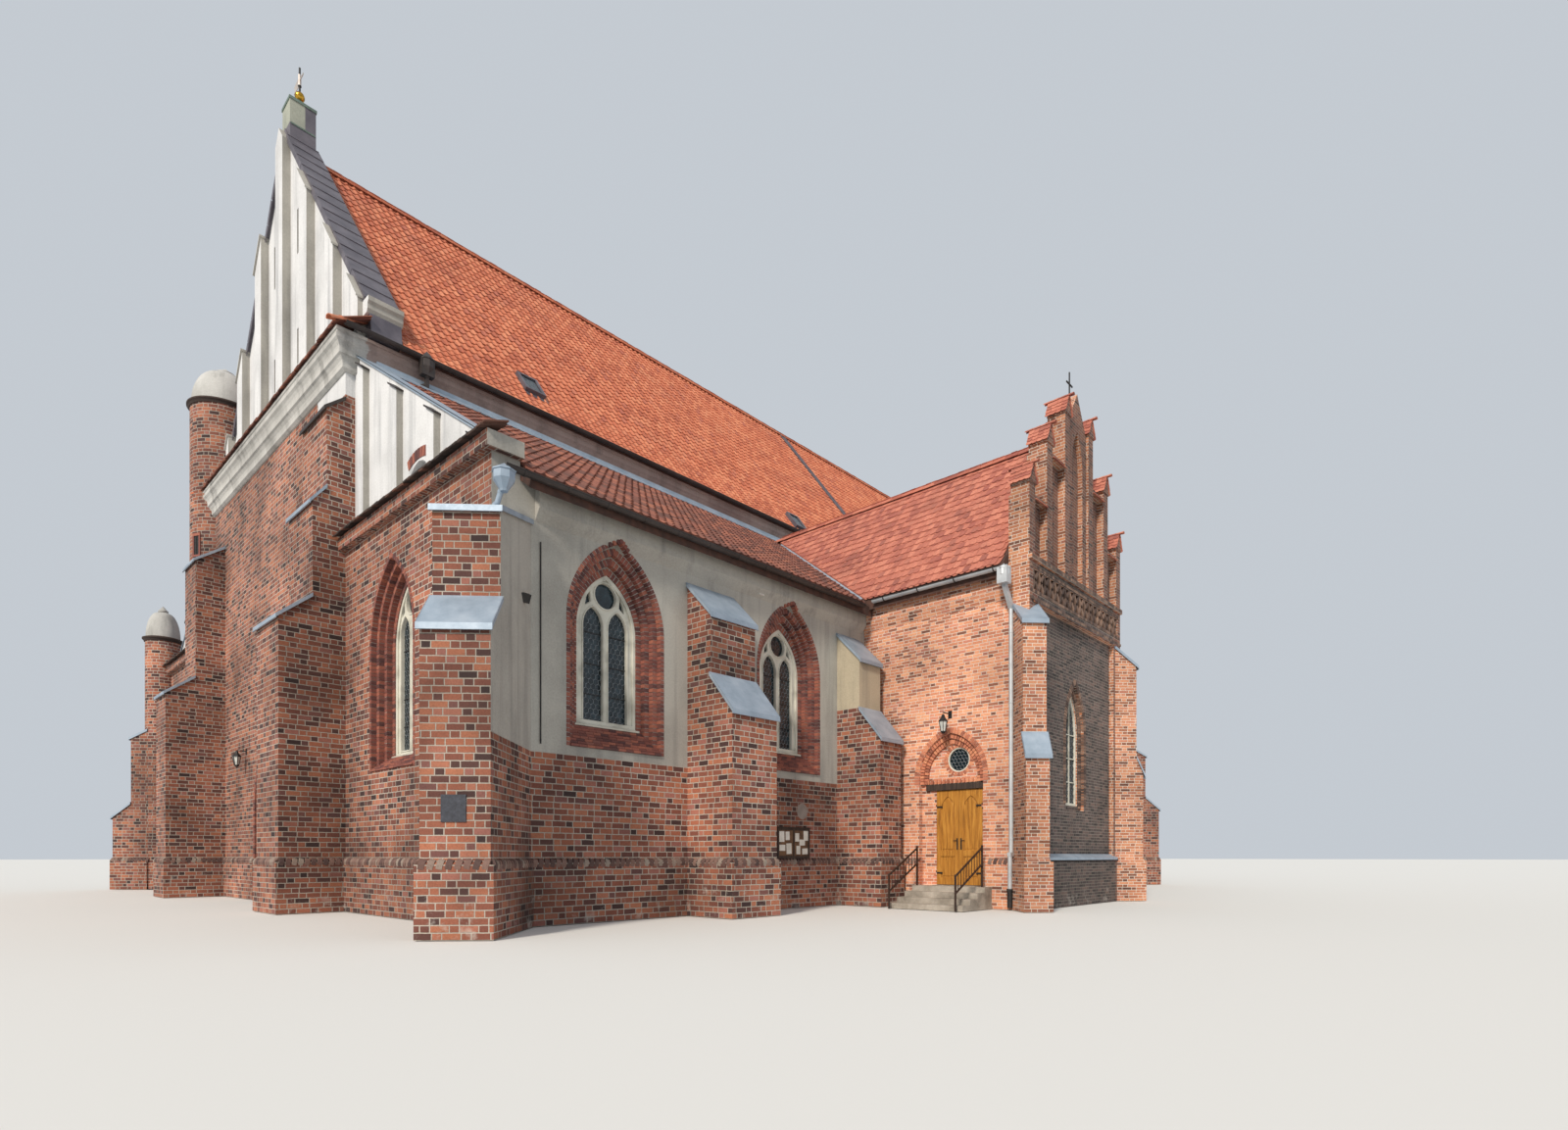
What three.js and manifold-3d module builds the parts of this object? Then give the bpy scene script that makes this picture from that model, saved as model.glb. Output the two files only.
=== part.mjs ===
// A brick church: a tall nave between two lean-to aisles, a white west gable,
// two round turrets and a south porch with a stepped gable.
// Millimetres, +X east along the nave, +Y north, +Z up from the lowest ground.
// Lengths along X are counted from the nave's west face, and the whole group is
// moved at the end so that the origin lies under the middle of the nave.
import * as THREE from "three";
import { mergeVertices } from "three/addons/utils/BufferGeometryUtils.js";
import Module from "manifold-3d";

const wasm = await Module();
wasm.setup();

// Clearance between a piece and its neighbour
const GAP = 0.3;

// Nave
const NAVE_LENGTH = 30200;
const NAVE_HALF = 5700;
const NAVE_WALL = 900;
const NAVE_WALL_TOP = 12000;
const CORNICE_TOP = 12800;
const CORNICE_OUT = 280;
const CORNICE_STEPS = [90, 190];
const RIDGE_TOP = 20650;
const ROOF_PITCH = 1.283;
const ROOF_DEPTH = 300;
const ROOF_HALF = 6060;

// White west gable, set back behind the cornice
const GABLE_WEST = 450;
const GABLE_EAST = 1050;
const GABLE_APEX = 21130;
const GABLE_PITCH = 1.275;
const PILASTER_OUT = 200;
const COPING_DEPTH = 90;
const COPING_OVER = 60;

// Aisles
const AISLE_HALF = 12300;
const AISLE_EAST = 29200;
const AISLE_WALL = 800;
const AISLE_EAVE = 12660;
const AISLE_EAVE_TOP = 7670;
const AISLE_PITCH = 0.675;
const AISLE_ROOF_DEPTH = 250;
const CORBEL_OUT = 150;
const CORBEL_FOOT = 7050;
const CORBEL_HEAD = 7250;
const HALF_GABLE_WEST = 200;
const HALF_GABLE_EAST = 520;
const HALF_GABLE_END = 11670;
const HALF_GABLE_FOOT = 8250;
const HALF_GABLE_PITCH = 0.655;
const HALF_GABLE_TOP = 12480;

// Plinth along the foot of every outer wall
const PLINTH_OUT = 60;
const PLINTH_TOP = 1100;
const PLINTH_SLOPE = 1160;

// Porch
const PORCH_WEST = 10400;
const PORCH_EAST = 16100;
const PORCH_SOUTH = -16890;
const PORCH_WALL = 650;
const PORCH_GABLE_DEPTH = 500;
const PORCH_RIDGE = 11820;
const PORCH_PITCH = 1.27;
const PORCH_OVER = 300;
const PORCH_CORBEL = 120;
const PORCH_ROOF_DEPTH = 250;
const PORCH_MIDDLE = (PORCH_WEST + PORCH_EAST) / 2;
const FLOOR_TOP = 520;

// Porch doorway, between Y limits
const DOOR_NORTH = -14400;
const DOOR_SOUTH = -15655;
const DOOR_HEAD = 2840;
const DOOR_MIDDLE = (DOOR_NORTH + DOOR_SOUTH) / 2;
const LEAF_DEPTH = 50;
const MEETING_GAP = 5;

// Inner archway between the porch and the aisle
const INNER_ARCH_WEST = 12250;
const INNER_ARCH_EAST = 14250;

// Colours and finish of each kind of material
const FINISHES = {
  brick: { color: 0x9c553c, roughness: 0.9, metalness: 0 },
  porch_brick: { color: 0xb5653f, roughness: 0.9, metalness: 0 },
  white_plaster: { color: 0xe4e3df, roughness: 0.85, metalness: 0 },
  grey_plaster: { color: 0xa79e92, roughness: 0.9, metalness: 0 },
  roof_tile: { color: 0xc46b45, roughness: 0.8, metalness: 0 },
  old_tile: { color: 0x7d5244, roughness: 0.85, metalness: 0 },
  zinc: { color: 0x9fb0bd, roughness: 0.45, metalness: 0.9 },
  coping_metal: { color: 0x77706f, roughness: 0.5, metalness: 0.8 },
  stone: { color: 0x9a968c, roughness: 0.9, metalness: 0 },
  window_paint: { color: 0xcfd3d2, roughness: 0.5, metalness: 0 },
  glass: { color: 0x2c3336, roughness: 0.1, metalness: 0 },
  wood: { color: 0xb07a45, roughness: 0.6, metalness: 0 },
  dark_wood: { color: 0x3e2c22, roughness: 0.7, metalness: 0 },
  iron: { color: 0x2d2d2f, roughness: 0.5, metalness: 0.9 },
  gilt: { color: 0xc9a24a, roughness: 0.3, metalness: 1 },
};

const church = new THREE.Group();

// Solids and how they are made

function solidOf(geometry) {
  geometry.deleteAttribute("normal");
  geometry.deleteAttribute("uv");
  const merged = mergeVertices(geometry, 1e-3);
  const vertProperties = new Float32Array(merged.attributes.position.array);
  const triVerts = new Uint32Array(merged.index.array);
  return new wasm.Manifold(new wasm.Mesh({ numProp: 3, vertProperties, triVerts }));
}

function geometryOf(solid) {
  const mesh = solid.getMesh();
  const geometry = new THREE.BufferGeometry();
  geometry.setAttribute("position", new THREE.Float32BufferAttribute(mesh.vertProperties, 3));
  geometry.setIndex(new THREE.Uint32BufferAttribute(mesh.triVerts, 1));
  return geometry;
}

function addPiece(name, solid, finish) {
  const material = new THREE.MeshStandardMaterial(FINISHES[finish]);
  const mesh = new THREE.Mesh(geometryOf(solid), material);
  mesh.name = name;
  church.add(mesh);
}

function box(x0, x1, y0, y1, z0, z1) {
  const geometry = new THREE.BoxGeometry(x1 - x0, y1 - y0, z1 - z0);
  geometry.translate((x0 + x1) / 2, (y0 + y1) / 2, (z0 + z1) / 2);
  return solidOf(geometry);
}

function cylinder(x, y, z0, z1, radius, sides) {
  const geometry = new THREE.CylinderGeometry(radius, radius, z1 - z0, sides);
  geometry.rotateX(Math.PI / 2);
  geometry.translate(x, y, (z0 + z1) / 2);
  return solidOf(geometry);
}

function turned(x, y, profile, sides) {
  const points = profile.map(([radius, z]) => new THREE.Vector2(radius, z));
  const geometry = new THREE.LatheGeometry(points, sides);
  geometry.rotateX(Math.PI / 2);
  geometry.translate(x, y, 0);
  return solidOf(geometry);
}

function shapeOf(points) {
  return new THREE.Shape(points.map(([u, v]) => new THREE.Vector2(u, v)));
}

function signedArea(points) {
  return THREE.ShapeUtils.area(points.map(([u, v]) => new THREE.Vector2(u, v)));
}

// Extrudes an outline drawn in (first, second) along the remaining axis
function extrude(points, length, place) {
  const outline = signedArea(points) > 0 ? points : [...points].reverse();
  const geometry = new THREE.ExtrudeGeometry(shapeOf(outline), { depth: length, bevelEnabled: false });
  geometry.applyMatrix4(place);
  return solidOf(geometry);
}

// Outline in (Y, Z), carried from x0 to x1
function alongX(points, x0, x1) {
  const place = new THREE.Matrix4().set(0, 0, 1, x0, 1, 0, 0, 0, 0, 1, 0, 0, 0, 0, 0, 1);
  return extrude(points, x1 - x0, place);
}

// Outline in (X, Z), carried from y0 to y1
function alongY(points, y0, y1) {
  const place = new THREE.Matrix4().set(1, 0, 0, 0, 0, 0, -1, y1, 0, 1, 0, 0, 0, 0, 0, 1);
  return extrude(points, y1 - y0, place);
}

function joined(solids) {
  return solids.reduce((whole, solid) => whole.add(solid));
}

function cutBy(solid, tools) {
  return tools.reduce((rest, tool) => rest.subtract(tool), solid);
}

// Pointed arch outline, centred on u, from the foot to the crown
function archOutline(u, halfWidth, foot, spring, crown) {
  const rise = crown - spring;
  const radius = (halfWidth * halfWidth + rise * rise) / (2 * halfWidth);
  const steps = 6;
  const sweep = Math.acos((radius - halfWidth) / radius);
  const points = [[u - halfWidth, foot], [u + halfWidth, foot]];
  for (let i = 0; i < steps; i += 1) {
    const angle = (sweep * i) / steps;
    points.push([u + halfWidth - radius + radius * Math.cos(angle), spring + radius * Math.sin(angle)]);
  }
  points.push([u, crown]);
  for (let i = steps - 1; i >= 0; i -= 1) {
    const angle = (sweep * i) / steps;
    points.push([u - halfWidth + radius - radius * Math.cos(angle), spring + radius * Math.sin(angle)]);
  }
  return points;
}

// Windows of the aisles: a stepped reveal outside and a straight one inside
const WINDOW = { half: 700, spring: 5550, steps: 3, stepOut: 115, stepDeep: 115 };
const WINDOW_BACK = WINDOW.steps * WINDOW.stepDeep;

// The side walls' windows start higher, with a steep sill; the west ones are taller
const SIDE_WINDOW = { foot: 3700, crown: 6660, sillFall: 1.4, crownRise: 1.43 };
const WEST_WINDOW = { foot: 3300, crown: 6860, sillFall: 0.9, crownRise: 1.15 };

function windowOutline(u, grow, { foot, crown, sillFall, crownRise }) {
  return archOutline(u, WINDOW.half + grow, foot - grow * sillFall, WINDOW.spring, crown + grow * crownRise);
}

// Cutters for one window: the face lies at `face`, and inwards is `inward` (+1 or -1)
function windowCuts(u, face, inward, wallDepth, along, shape) {
  const cuts = [];
  for (let i = 0; i < WINDOW.steps; i += 1) {
    const grow = WINDOW.stepOut * (WINDOW.steps - i);
    const far = face + inward * WINDOW.stepDeep * (i + 1);
    const near = face - inward * 200;
    cuts.push(along(windowOutline(u, grow, shape), Math.min(near, far), Math.max(near, far)));
  }
  const back = face + inward * (wallDepth + 200);
  const front = face - inward * 200;
  cuts.push(along(windowOutline(u, 0, shape), Math.min(front, back), Math.max(front, back)));
  return cuts;
}

// Frame with a mullion and a thin pane behind it, all one piece
function windowFrame(u, face, inward, along, shape) {
  const start = face + inward * (WINDOW_BACK + 20);
  const slab = (outline, from, depth) => {
    const a = start + inward * from;
    const b = start + inward * (from + depth);
    return along(outline, Math.min(a, b), Math.max(a, b));
  };
  const outer = windowOutline(u, -GAP, shape);
  const inner = windowOutline(u, -130, shape);
  const ring = slab(outer, 0, 100).subtract(slab(inner, -10, 120));
  const pane = slab(outer, 40, 24);
  const mullionLine = [
    [u - 45, shape.foot + 50],
    [u + 45, shape.foot + 50],
    [u + 45, WINDOW.spring + 500],
    [u - 45, WINDOW.spring + 500],
  ];
  return joined([ring, pane, slab(mullionLine, 0, 100)]);
}

// Wall profiles in (across, Z); side is +1 north or -1 south

function aisleRoofTop(y) {
  return AISLE_EAVE_TOP + AISLE_PITCH * (AISLE_EAVE - y);
}

function aisleWallProfile(side) {
  const face = AISLE_HALF;
  const inside = AISLE_HALF - AISLE_WALL;
  const corbel = face + CORBEL_OUT;
  const under = (y) => aisleRoofTop(y) - AISLE_ROOF_DEPTH - GAP;
  const points = [
    [inside, 0],
    [face + PLINTH_OUT, 0],
    [face + PLINTH_OUT, PLINTH_TOP],
    [face, PLINTH_SLOPE],
    [face, CORBEL_FOOT],
    [corbel, CORBEL_HEAD],
    [corbel, under(corbel)],
    [inside, under(inside)],
  ];
  return points.map(([y, z]) => [side * y, z]);
}

// Floor

function buildFloor() {
  const inset = GAP;
  const nave = box(
    NAVE_WALL + inset,
    AISLE_EAST - AISLE_WALL - inset,
    -NAVE_HALF + NAVE_WALL + inset,
    NAVE_HALF - NAVE_WALL - inset,
    0,
    FLOOR_TOP,
  );
  const choir = box(
    AISLE_EAST - AISLE_WALL - 500,
    NAVE_LENGTH - NAVE_WALL - inset,
    -NAVE_HALF + NAVE_WALL + inset,
    NAVE_HALF - NAVE_WALL - inset,
    0,
    FLOOR_TOP,
  );
  const floors = [nave, choir];
  for (const side of [-1, 1]) {
    const near = side * (NAVE_HALF + inset);
    const far = side * (AISLE_HALF - AISLE_WALL - inset);
    const aisle = box(
      AISLE_WALL + inset,
      AISLE_EAST - AISLE_WALL - inset,
      Math.min(near, far),
      Math.max(near, far),
      0,
      FLOOR_TOP,
    );
    floors.push(aisle);
    for (const middle of ARCADE) {
      const strip = box(
        middle - ARCADE_HALF + inset,
        middle + ARCADE_HALF - inset,
        side < 0 ? -NAVE_HALF - 50 : NAVE_HALF - NAVE_WALL - 50,
        side < 0 ? -NAVE_HALF + NAVE_WALL + 50 : NAVE_HALF + 50,
        0,
        FLOOR_TOP,
      );
      floors.push(strip);
    }
  }
  const porch = box(
    PORCH_WEST + PORCH_WALL + inset,
    PORCH_EAST - PORCH_WALL - inset,
    PORCH_SOUTH + PORCH_GABLE_DEPTH + inset,
    -AISLE_HALF - inset,
    0,
    FLOOR_TOP,
  );
  const passage = box(
    INNER_ARCH_WEST + inset,
    INNER_ARCH_EAST - inset,
    -AISLE_HALF - 50,
    -AISLE_HALF + AISLE_WALL + 50,
    0,
    FLOOR_TOP,
  );
  const threshold = box(
    PORCH_WEST - PLINTH_OUT,
    PORCH_WEST + PORCH_WALL + 50,
    DOOR_SOUTH + inset,
    DOOR_NORTH - inset,
    0,
    FLOOR_TOP,
  );
  floors.push(porch, passage, threshold);
  addPiece("church_floor", joined(floors).subtract(turretVoid()), "stone");
}

// Nave walls

const ARCADE = [3400, 8650, 13900, 19150, 24400];
const ARCADE_HALF = 1900;
const ARCADE_SPRING = 3900;
const ARCADE_CROWN = 6900;
// Where the north wall starts, clear of the stair turret's round
const TURRET_CORNER = 1150;

function buildNaveSideWall(name, side) {
  const inner = side * (NAVE_HALF - NAVE_WALL);
  const outer = side * NAVE_HALF;
  const low = Math.min(inner, outer);
  const high = Math.max(inner, outer);
  const start = side < 0 ? NAVE_WALL : TURRET_CORNER;
  const wall = box(start + GAP, NAVE_LENGTH - NAVE_WALL - GAP, low, high, 0, NAVE_WALL_TOP - GAP);
  const arches = ARCADE.map((middle) =>
    alongY(archOutline(middle, ARCADE_HALF, -100, ARCADE_SPRING, ARCADE_CROWN), low - 100, high + 100));
  addPiece(name, cutBy(wall, arches), "brick");
}

const PORTAL = { half: 950, spring: 2500, crown: 4000, back: 450, stepOut: 160 };

function buildNaveWestWall() {
  const wall = box(0, NAVE_WALL, -NAVE_HALF, NAVE_HALF, 0, NAVE_WALL_TOP - GAP);
  const corner = box(NAVE_WALL - 10, TURRET_CORNER, NAVE_HALF - NAVE_WALL, NAVE_HALF, 0, NAVE_WALL_TOP - GAP);
  const plinth = box(-PLINTH_OUT, 10, SOUTH_BUTTRESS.high + PLINTH_OUT + GAP,
    NORTH_BUTTRESS.low - PLINTH_OUT - GAP, 0, PLINTH_TOP);
  const shallow = archOutline(0, PORTAL.half + 2 * PORTAL.stepOut, -100, PORTAL.spring, PORTAL.crown + 360);
  const middle = archOutline(0, PORTAL.half + PORTAL.stepOut, -100, PORTAL.spring, PORTAL.crown + 180);
  const through = archOutline(0, PORTAL.half, -100, PORTAL.spring, PORTAL.crown);
  const cuts = [
    alongX(shallow, -200, 150),
    alongX(middle, -200, 300),
    alongX(through, -200, NAVE_WALL + 200),
  ];
  cuts.push(turretVoid());
  addPiece("nave_west_wall", cutBy(joined([wall, corner, plinth]), cuts), "brick");
  const leafOutline = archOutline(0, PORTAL.half - GAP, 0, PORTAL.spring, PORTAL.crown - 2);
  addPiece("west_door", alongX(leafOutline, PORTAL.back, PORTAL.back + 80), "dark_wood");
}

const EAST_WINDOW = { half: 900, foot: 5200, spring: 9200, crown: 11000 };

function buildNaveEastWall() {
  const under = (y) => RIDGE_TOP - ROOF_DEPTH - ROOF_PITCH * y - GAP * 3;
  const outline = [
    [-NAVE_HALF, 0],
    [NAVE_HALF, 0],
    [NAVE_HALF, under(NAVE_HALF)],
    [0, under(0)],
    [-NAVE_HALF, under(NAVE_HALF)],
  ];
  const wall = alongX(outline, NAVE_LENGTH - NAVE_WALL, NAVE_LENGTH);
  const { half, foot, spring, crown } = EAST_WINDOW;
  const cuts = [
    alongX(archOutline(0, half, foot, spring, crown), NAVE_LENGTH - NAVE_WALL - 100, NAVE_LENGTH + 100),
    alongX(archOutline(0, half + 200, foot - 180, spring, crown + 260), NAVE_LENGTH - 200, NAVE_LENGTH + 100),
  ];
  addPiece("nave_east_wall", cutBy(wall, cuts), "brick");
  const pane = archOutline(0, half - GAP, foot + GAP, spring, crown - 2);
  addPiece("east_window", alongX(pane, NAVE_LENGTH - 420, NAVE_LENGTH - 340), "glass");
}

function buildCornice() {
  const out = CORNICE_OUT;
  const mid = (NAVE_WALL_TOP + CORNICE_TOP) / 2;
  const end = NAVE_LENGTH;
  const [lowOut, midOut] = CORNICE_STEPS;
  const low = box(-lowOut, end, -NAVE_HALF - lowOut, NAVE_HALF + lowOut, NAVE_WALL_TOP, mid - 100);
  const middle = box(-midOut, end, -NAVE_HALF - midOut, NAVE_HALF + midOut, mid - 110, mid + 160);
  const high = box(-out, end, -NAVE_HALF - out, NAVE_HALF + out, mid + 150, CORNICE_TOP);
  const inner = NAVE_HALF - NAVE_WALL;
  const foot = NAVE_WALL_TOP - 100;
  const crown = CORNICE_TOP + 100;
  const wallEnd = NAVE_LENGTH - NAVE_WALL - GAP;
  const cuts = [
    box(NAVE_WALL, NAVE_LENGTH, -inner, inner, foot, crown),
    box(wallEnd, end + 100, -NAVE_HALF - GAP, NAVE_HALF + GAP, foot, crown),
    aisleRoofVoid(-1),
    aisleRoofVoid(1),
    turretVoid(),
  ];
  addPiece("nave_cornice", cutBy(joined([low, middle, high]), cuts), "white_plaster");
}

// Space taken by a lean-to roof where it runs in under the cornice
function aisleRoofVoid(side) {
  const inner = NAVE_HALF;
  const outer = NAVE_HALF + 600;
  const outline = [
    [inner, NAVE_WALL_TOP - 500],
    [outer, NAVE_WALL_TOP - 500],
    [outer, aisleRoofTop(outer) + 2 * GAP],
    [inner, aisleRoofTop(inner) + 2 * GAP],
  ].map(([y, z]) => [side * y, z]);
  return alongX(outline, HALF_GABLE_EAST, AISLE_EAST + 100 + GAP);
}

function buildNaveRoof() {
  const eave = RIDGE_TOP - ROOF_PITCH * ROOF_HALF;
  const floor = CORNICE_TOP + GAP;
  const innerHalf = (RIDGE_TOP - ROOF_DEPTH - floor) / ROOF_PITCH;
  const outline = [
    [-ROOF_HALF, floor],
    [-innerHalf, floor],
    [0, RIDGE_TOP - ROOF_DEPTH],
    [innerHalf, floor],
    [ROOF_HALF, floor],
    [ROOF_HALF, eave],
    [0, RIDGE_TOP],
    [-ROOF_HALF, eave],
  ];
  const roof = alongX(outline, GABLE_EAST + GAP, NAVE_LENGTH + 100);
  addPiece("nave_roof", cutBy(roof, [turretVoid()]), "roof_tile");
}

// West gable with its pilasters, slits, coping and finial

function gableLine(y) {
  return GABLE_APEX - GABLE_PITCH * Math.abs(y);
}

function buildWestGable() {
  const foot = CORNICE_TOP + GAP;
  const outline = [
    [-NAVE_HALF, foot],
    [NAVE_HALF, foot],
    [NAVE_HALF, gableLine(NAVE_HALF)],
    [0, GABLE_APEX],
    [-NAVE_HALF, gableLine(NAVE_HALF)],
  ];
  const wall = alongX(outline, GABLE_WEST, GABLE_EAST);
  const front = alongX(outline, GABLE_WEST - PILASTER_OUT, GABLE_WEST + 10);
  const strips = [];
  for (const [middle, width] of PILASTERS) {
    for (const y of middle === 0 ? [0] : [-middle, middle]) {
      strips.push(box(0, 1000, y - width / 2, y + width / 2, foot, RIDGE_TOP + 600));
    }
  }
  const pilasters = front.intersect(joined(strips));
  const slits = [];
  for (const y of [-1000, 1000]) {
    slits.push(box(0, 2000, y - 150, y + 150, 17350, 18550));
    slits.push(box(0, 2000, y - 150, y + 150, 14400, 15350));
  }
  addPiece("nave_west_gable", cutBy(joined([wall, pilasters]), [...slits, turretVoid()]), "white_plaster");
}

const PILASTERS = [[0, 620], [1950, 600], [3850, 560], [5420, 540]];
const PEDESTAL_HALF = 320;
const PEDESTAL_TOP = 21950;

function buildGableCoping() {
  const end = NAVE_HALF + 90;
  const under = (y) => gableLine(y) + GAP;
  const over = (y) => gableLine(y) + COPING_DEPTH;
  const outline = [
    [-end, under(end)],
    [0, under(0)],
    [end, under(end)],
    [end, over(end)],
    [0, over(0)],
    [-end, over(end)],
  ];
  const coping = alongX(outline, GABLE_WEST - COPING_OVER, GABLE_EAST + COPING_OVER);
  const pedestal = alongX([
    [-PEDESTAL_HALF, under(PEDESTAL_HALF)],
    [0, under(0)],
    [PEDESTAL_HALF, under(PEDESTAL_HALF)],
    [PEDESTAL_HALF, PEDESTAL_TOP],
    [-PEDESTAL_HALF, PEDESTAL_TOP],
  ], GABLE_WEST - 20, GABLE_EAST + 20);
  addPiece("gable_coping", joined([coping, pedestal]).subtract(turretVoid()), "coping_metal");
}

const FINIAL_X = 760;
const ROD_RADIUS = 25;
const ROD_TOP = 23150;
const BALL_Z = 22330;
const BALL_RADIUS = 125;
const VANE_SEAT = 22640;

function buildFinial() {
  const rod = turned(FINIAL_X, 0, [
    [0, PEDESTAL_TOP + GAP],
    [90, PEDESTAL_TOP + GAP],
    [90, PEDESTAL_TOP + 40],
    [ROD_RADIUS, PEDESTAL_TOP + 60],
    [ROD_RADIUS, BALL_Z - BALL_RADIUS * 0.98],
    [BALL_RADIUS * 0.7, BALL_Z - BALL_RADIUS * 0.7],
    [BALL_RADIUS, BALL_Z],
    [BALL_RADIUS * 0.7, BALL_Z + BALL_RADIUS * 0.7],
    [ROD_RADIUS, BALL_Z + BALL_RADIUS * 0.98],
    [ROD_RADIUS, VANE_SEAT - 30],
    [45, VANE_SEAT - 20],
    [45, VANE_SEAT],
    [ROD_RADIUS, VANE_SEAT],
    [ROD_RADIUS, ROD_TOP],
    [0, ROD_TOP],
  ], 12);
  addPiece("gable_finial", rod, "gilt");
}

const VANE_SLEEVE = 40;

function buildVane() {
  const low = VANE_SEAT + GAP;
  const sleeve = cylinder(FINIAL_X, 0, low, low + 300, VANE_SLEEVE, 12);
  const flag = alongX([[VANE_SLEEVE - 10, low + 20], [480, low + 60], [400, low + 150], [480, low + 240],
    [VANE_SLEEVE - 10, low + 280]], FINIAL_X - 6, FINIAL_X + 6);
  const pointer = box(FINIAL_X - 8, FINIAL_X + 8, -300, -VANE_SLEEVE + 10, low + 130, low + 170);
  const bore = cylinder(FINIAL_X, 0, low - 10, low + 310, ROD_RADIUS + 5, 12);
  addPiece("weather_vane", cutBy(joined([sleeve, flag, pointer]), [bore]), "gilt");
}

// Buttresses: a stepped profile in (outward, Z), carried across its width

function buttressProfile(stages, out) {
  const points = [
    [GAP + PLINTH_OUT, 0],
    [stages[0].reach + out, 0],
    [stages[0].reach + out, PLINTH_TOP],
    [stages[0].reach, PLINTH_SLOPE],
  ];
  stages.forEach((stage, i) => {
    const next = i + 1 < stages.length ? stages[i + 1].reach : 0;
    points.push([stage.reach, stage.shoulder]);
    points.push([Math.max(next, GAP), stage.head]);
  });
  points.push([GAP, PLINTH_SLOPE + 40], [GAP + PLINTH_OUT, PLINTH_SLOPE]);
  return points;
}

function buttressSolid(stages, halfWidth) {
  const shaft = alongY(buttressProfile(stages, PLINTH_OUT), -halfWidth, halfWidth);
  const base = box(GAP + PLINTH_OUT, stages[0].reach + PLINTH_OUT, -halfWidth - PLINTH_OUT,
    halfWidth + PLINTH_OUT, 0, PLINTH_TOP);
  return joined([shaft, base]);
}

// Turns a buttress built along +X by an angle in degrees and moves it to its place
function placed(solid, degrees, x, y) {
  return solid.rotate([0, 0, degrees]).translate([x, y, 0]);
}

const SOUTH_BUTTRESS = { low: -5700, high: -4135 };
const NORTH_BUTTRESS = { low: 4380, high: 5700 };
const WEST_STAGES_SOUTH = [
  { reach: 1310, shoulder: 6350, head: 6900 },
  { reach: 660, shoulder: 9000, head: 9350 },
  { reach: 380, shoulder: 11100, head: 11420 },
];
const WEST_STAGES_NORTH = [
  { reach: 1470, shoulder: 6100, head: 6650 },
  { reach: 750, shoulder: 10200, head: 10750 },
];

function buildWestButtresses() {
  const sets = [
    ["nave_west_buttress_south", SOUTH_BUTTRESS, WEST_STAGES_SOUTH],
    ["nave_west_buttress_north", NORTH_BUTTRESS, WEST_STAGES_NORTH],
  ];
  for (const [name, span, stages] of sets) {
    const half = (span.high - span.low) / 2;
    const middle = (span.high + span.low) / 2;
    const solid = placed(buttressSolid(stages, half), 180, 0, middle);
    addPiece(name, solid.subtract(turretVoid()), "brick");
  }
}

const AISLE_STAGES = [
  { reach: 1330, shoulder: 4150, head: 4900 },
  { reach: 700, shoulder: 6150, head: 6850 },
];
const SOUTH_BUTTRESSES = [
  { name: "south_buttress_1", low: 4280, high: 5560 },
  { name: "south_buttress_2", low: 9250, high: 10130 },
];
const EAST_BUTTRESS = 21000;

function buildSouthButtresses() {
  for (const { name, low, high } of SOUTH_BUTTRESSES) {
    const solid = buttressSolid(AISLE_STAGES, (high - low) / 2);
    addPiece(name, placed(solid, -90, (low + high) / 2, -AISLE_HALF), "brick");
  }
}

// Corner buttresses stand at 45 degrees, their backs cut to the corner of the walls
const CORNER_HALF = 510;
const CORNER_STAGES = [
  { reach: 1650, shoulder: 4650, head: 5150 },
  { reach: 1180, shoulder: 6530, head: 6880 },
];
const NORTH_CORNER_STAGES = [
  { reach: 1650, shoulder: 2700, head: 3200 },
  { reach: 1000, shoulder: 5600, head: 6100 },
];
const EAST_CORNER_STAGES = [
  { reach: 1500, shoulder: 3300, head: 3800 },
  { reach: 900, shoulder: 5600, head: 6100 },
];

function cornerButtress(stages, halfWidth, degrees, x, y, cutters, back = -900) {
  const points = buttressProfile(stages, PLINTH_OUT);
  const last = stages[stages.length - 1];
  const headAtBack = last.head - ((last.head - last.shoulder) * back) / last.reach;
  const shaftPoints = [
    [back, 0],
    ...points.slice(1, points.length - 3),
    [back, headAtBack],
  ];
  const shaft = alongY(shaftPoints, -halfWidth, halfWidth);
  const base = box(back, stages[0].reach + PLINTH_OUT, -halfWidth - PLINTH_OUT, halfWidth + PLINTH_OUT,
    0, PLINTH_TOP);
  const solid = placed(joined([shaft, base]), degrees, x, y);
  return cutBy(solid, cutters);
}

// The north-west one starts inside the small turret's round
const TURRET_SIDE_BACK = 400;

// Room for the walls that a corner buttress leans on, wider at their plinth
function wallRoom(x0, x1, y0, y1) {
  const keep = PLINTH_OUT + GAP;
  const plinth = box(x0 - keep, x1 + keep, y0 - keep, y1 + keep, -10, PLINTH_SLOPE + GAP);
  return plinth.add(box(x0 - GAP, x1 + GAP, y0 - GAP, y1 + GAP, 0, 9000));
}

function buildCornerButtresses() {
  const south = wallRoom(0, AISLE_EAST, -AISLE_HALF, 0);
  const north = wallRoom(0, AISLE_EAST, 0, AISLE_HALF);
  const sets = [
    ["corner_buttress_south_west", CORNER_STAGES, 225, -AISLE_HALF, south, -900],
    ["corner_buttress_north_west", NORTH_CORNER_STAGES, 135, AISLE_HALF, north, TURRET_SIDE_BACK],
  ];
  for (const [name, stages, degrees, y, keepOut, back] of sets) {
    const cutters = [keepOut, lowTurretVoid()];
    addPiece(name, cornerButtress(stages, CORNER_HALF, degrees, 0, y, cutters, back), "brick");
  }
}

// Aisles

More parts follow.
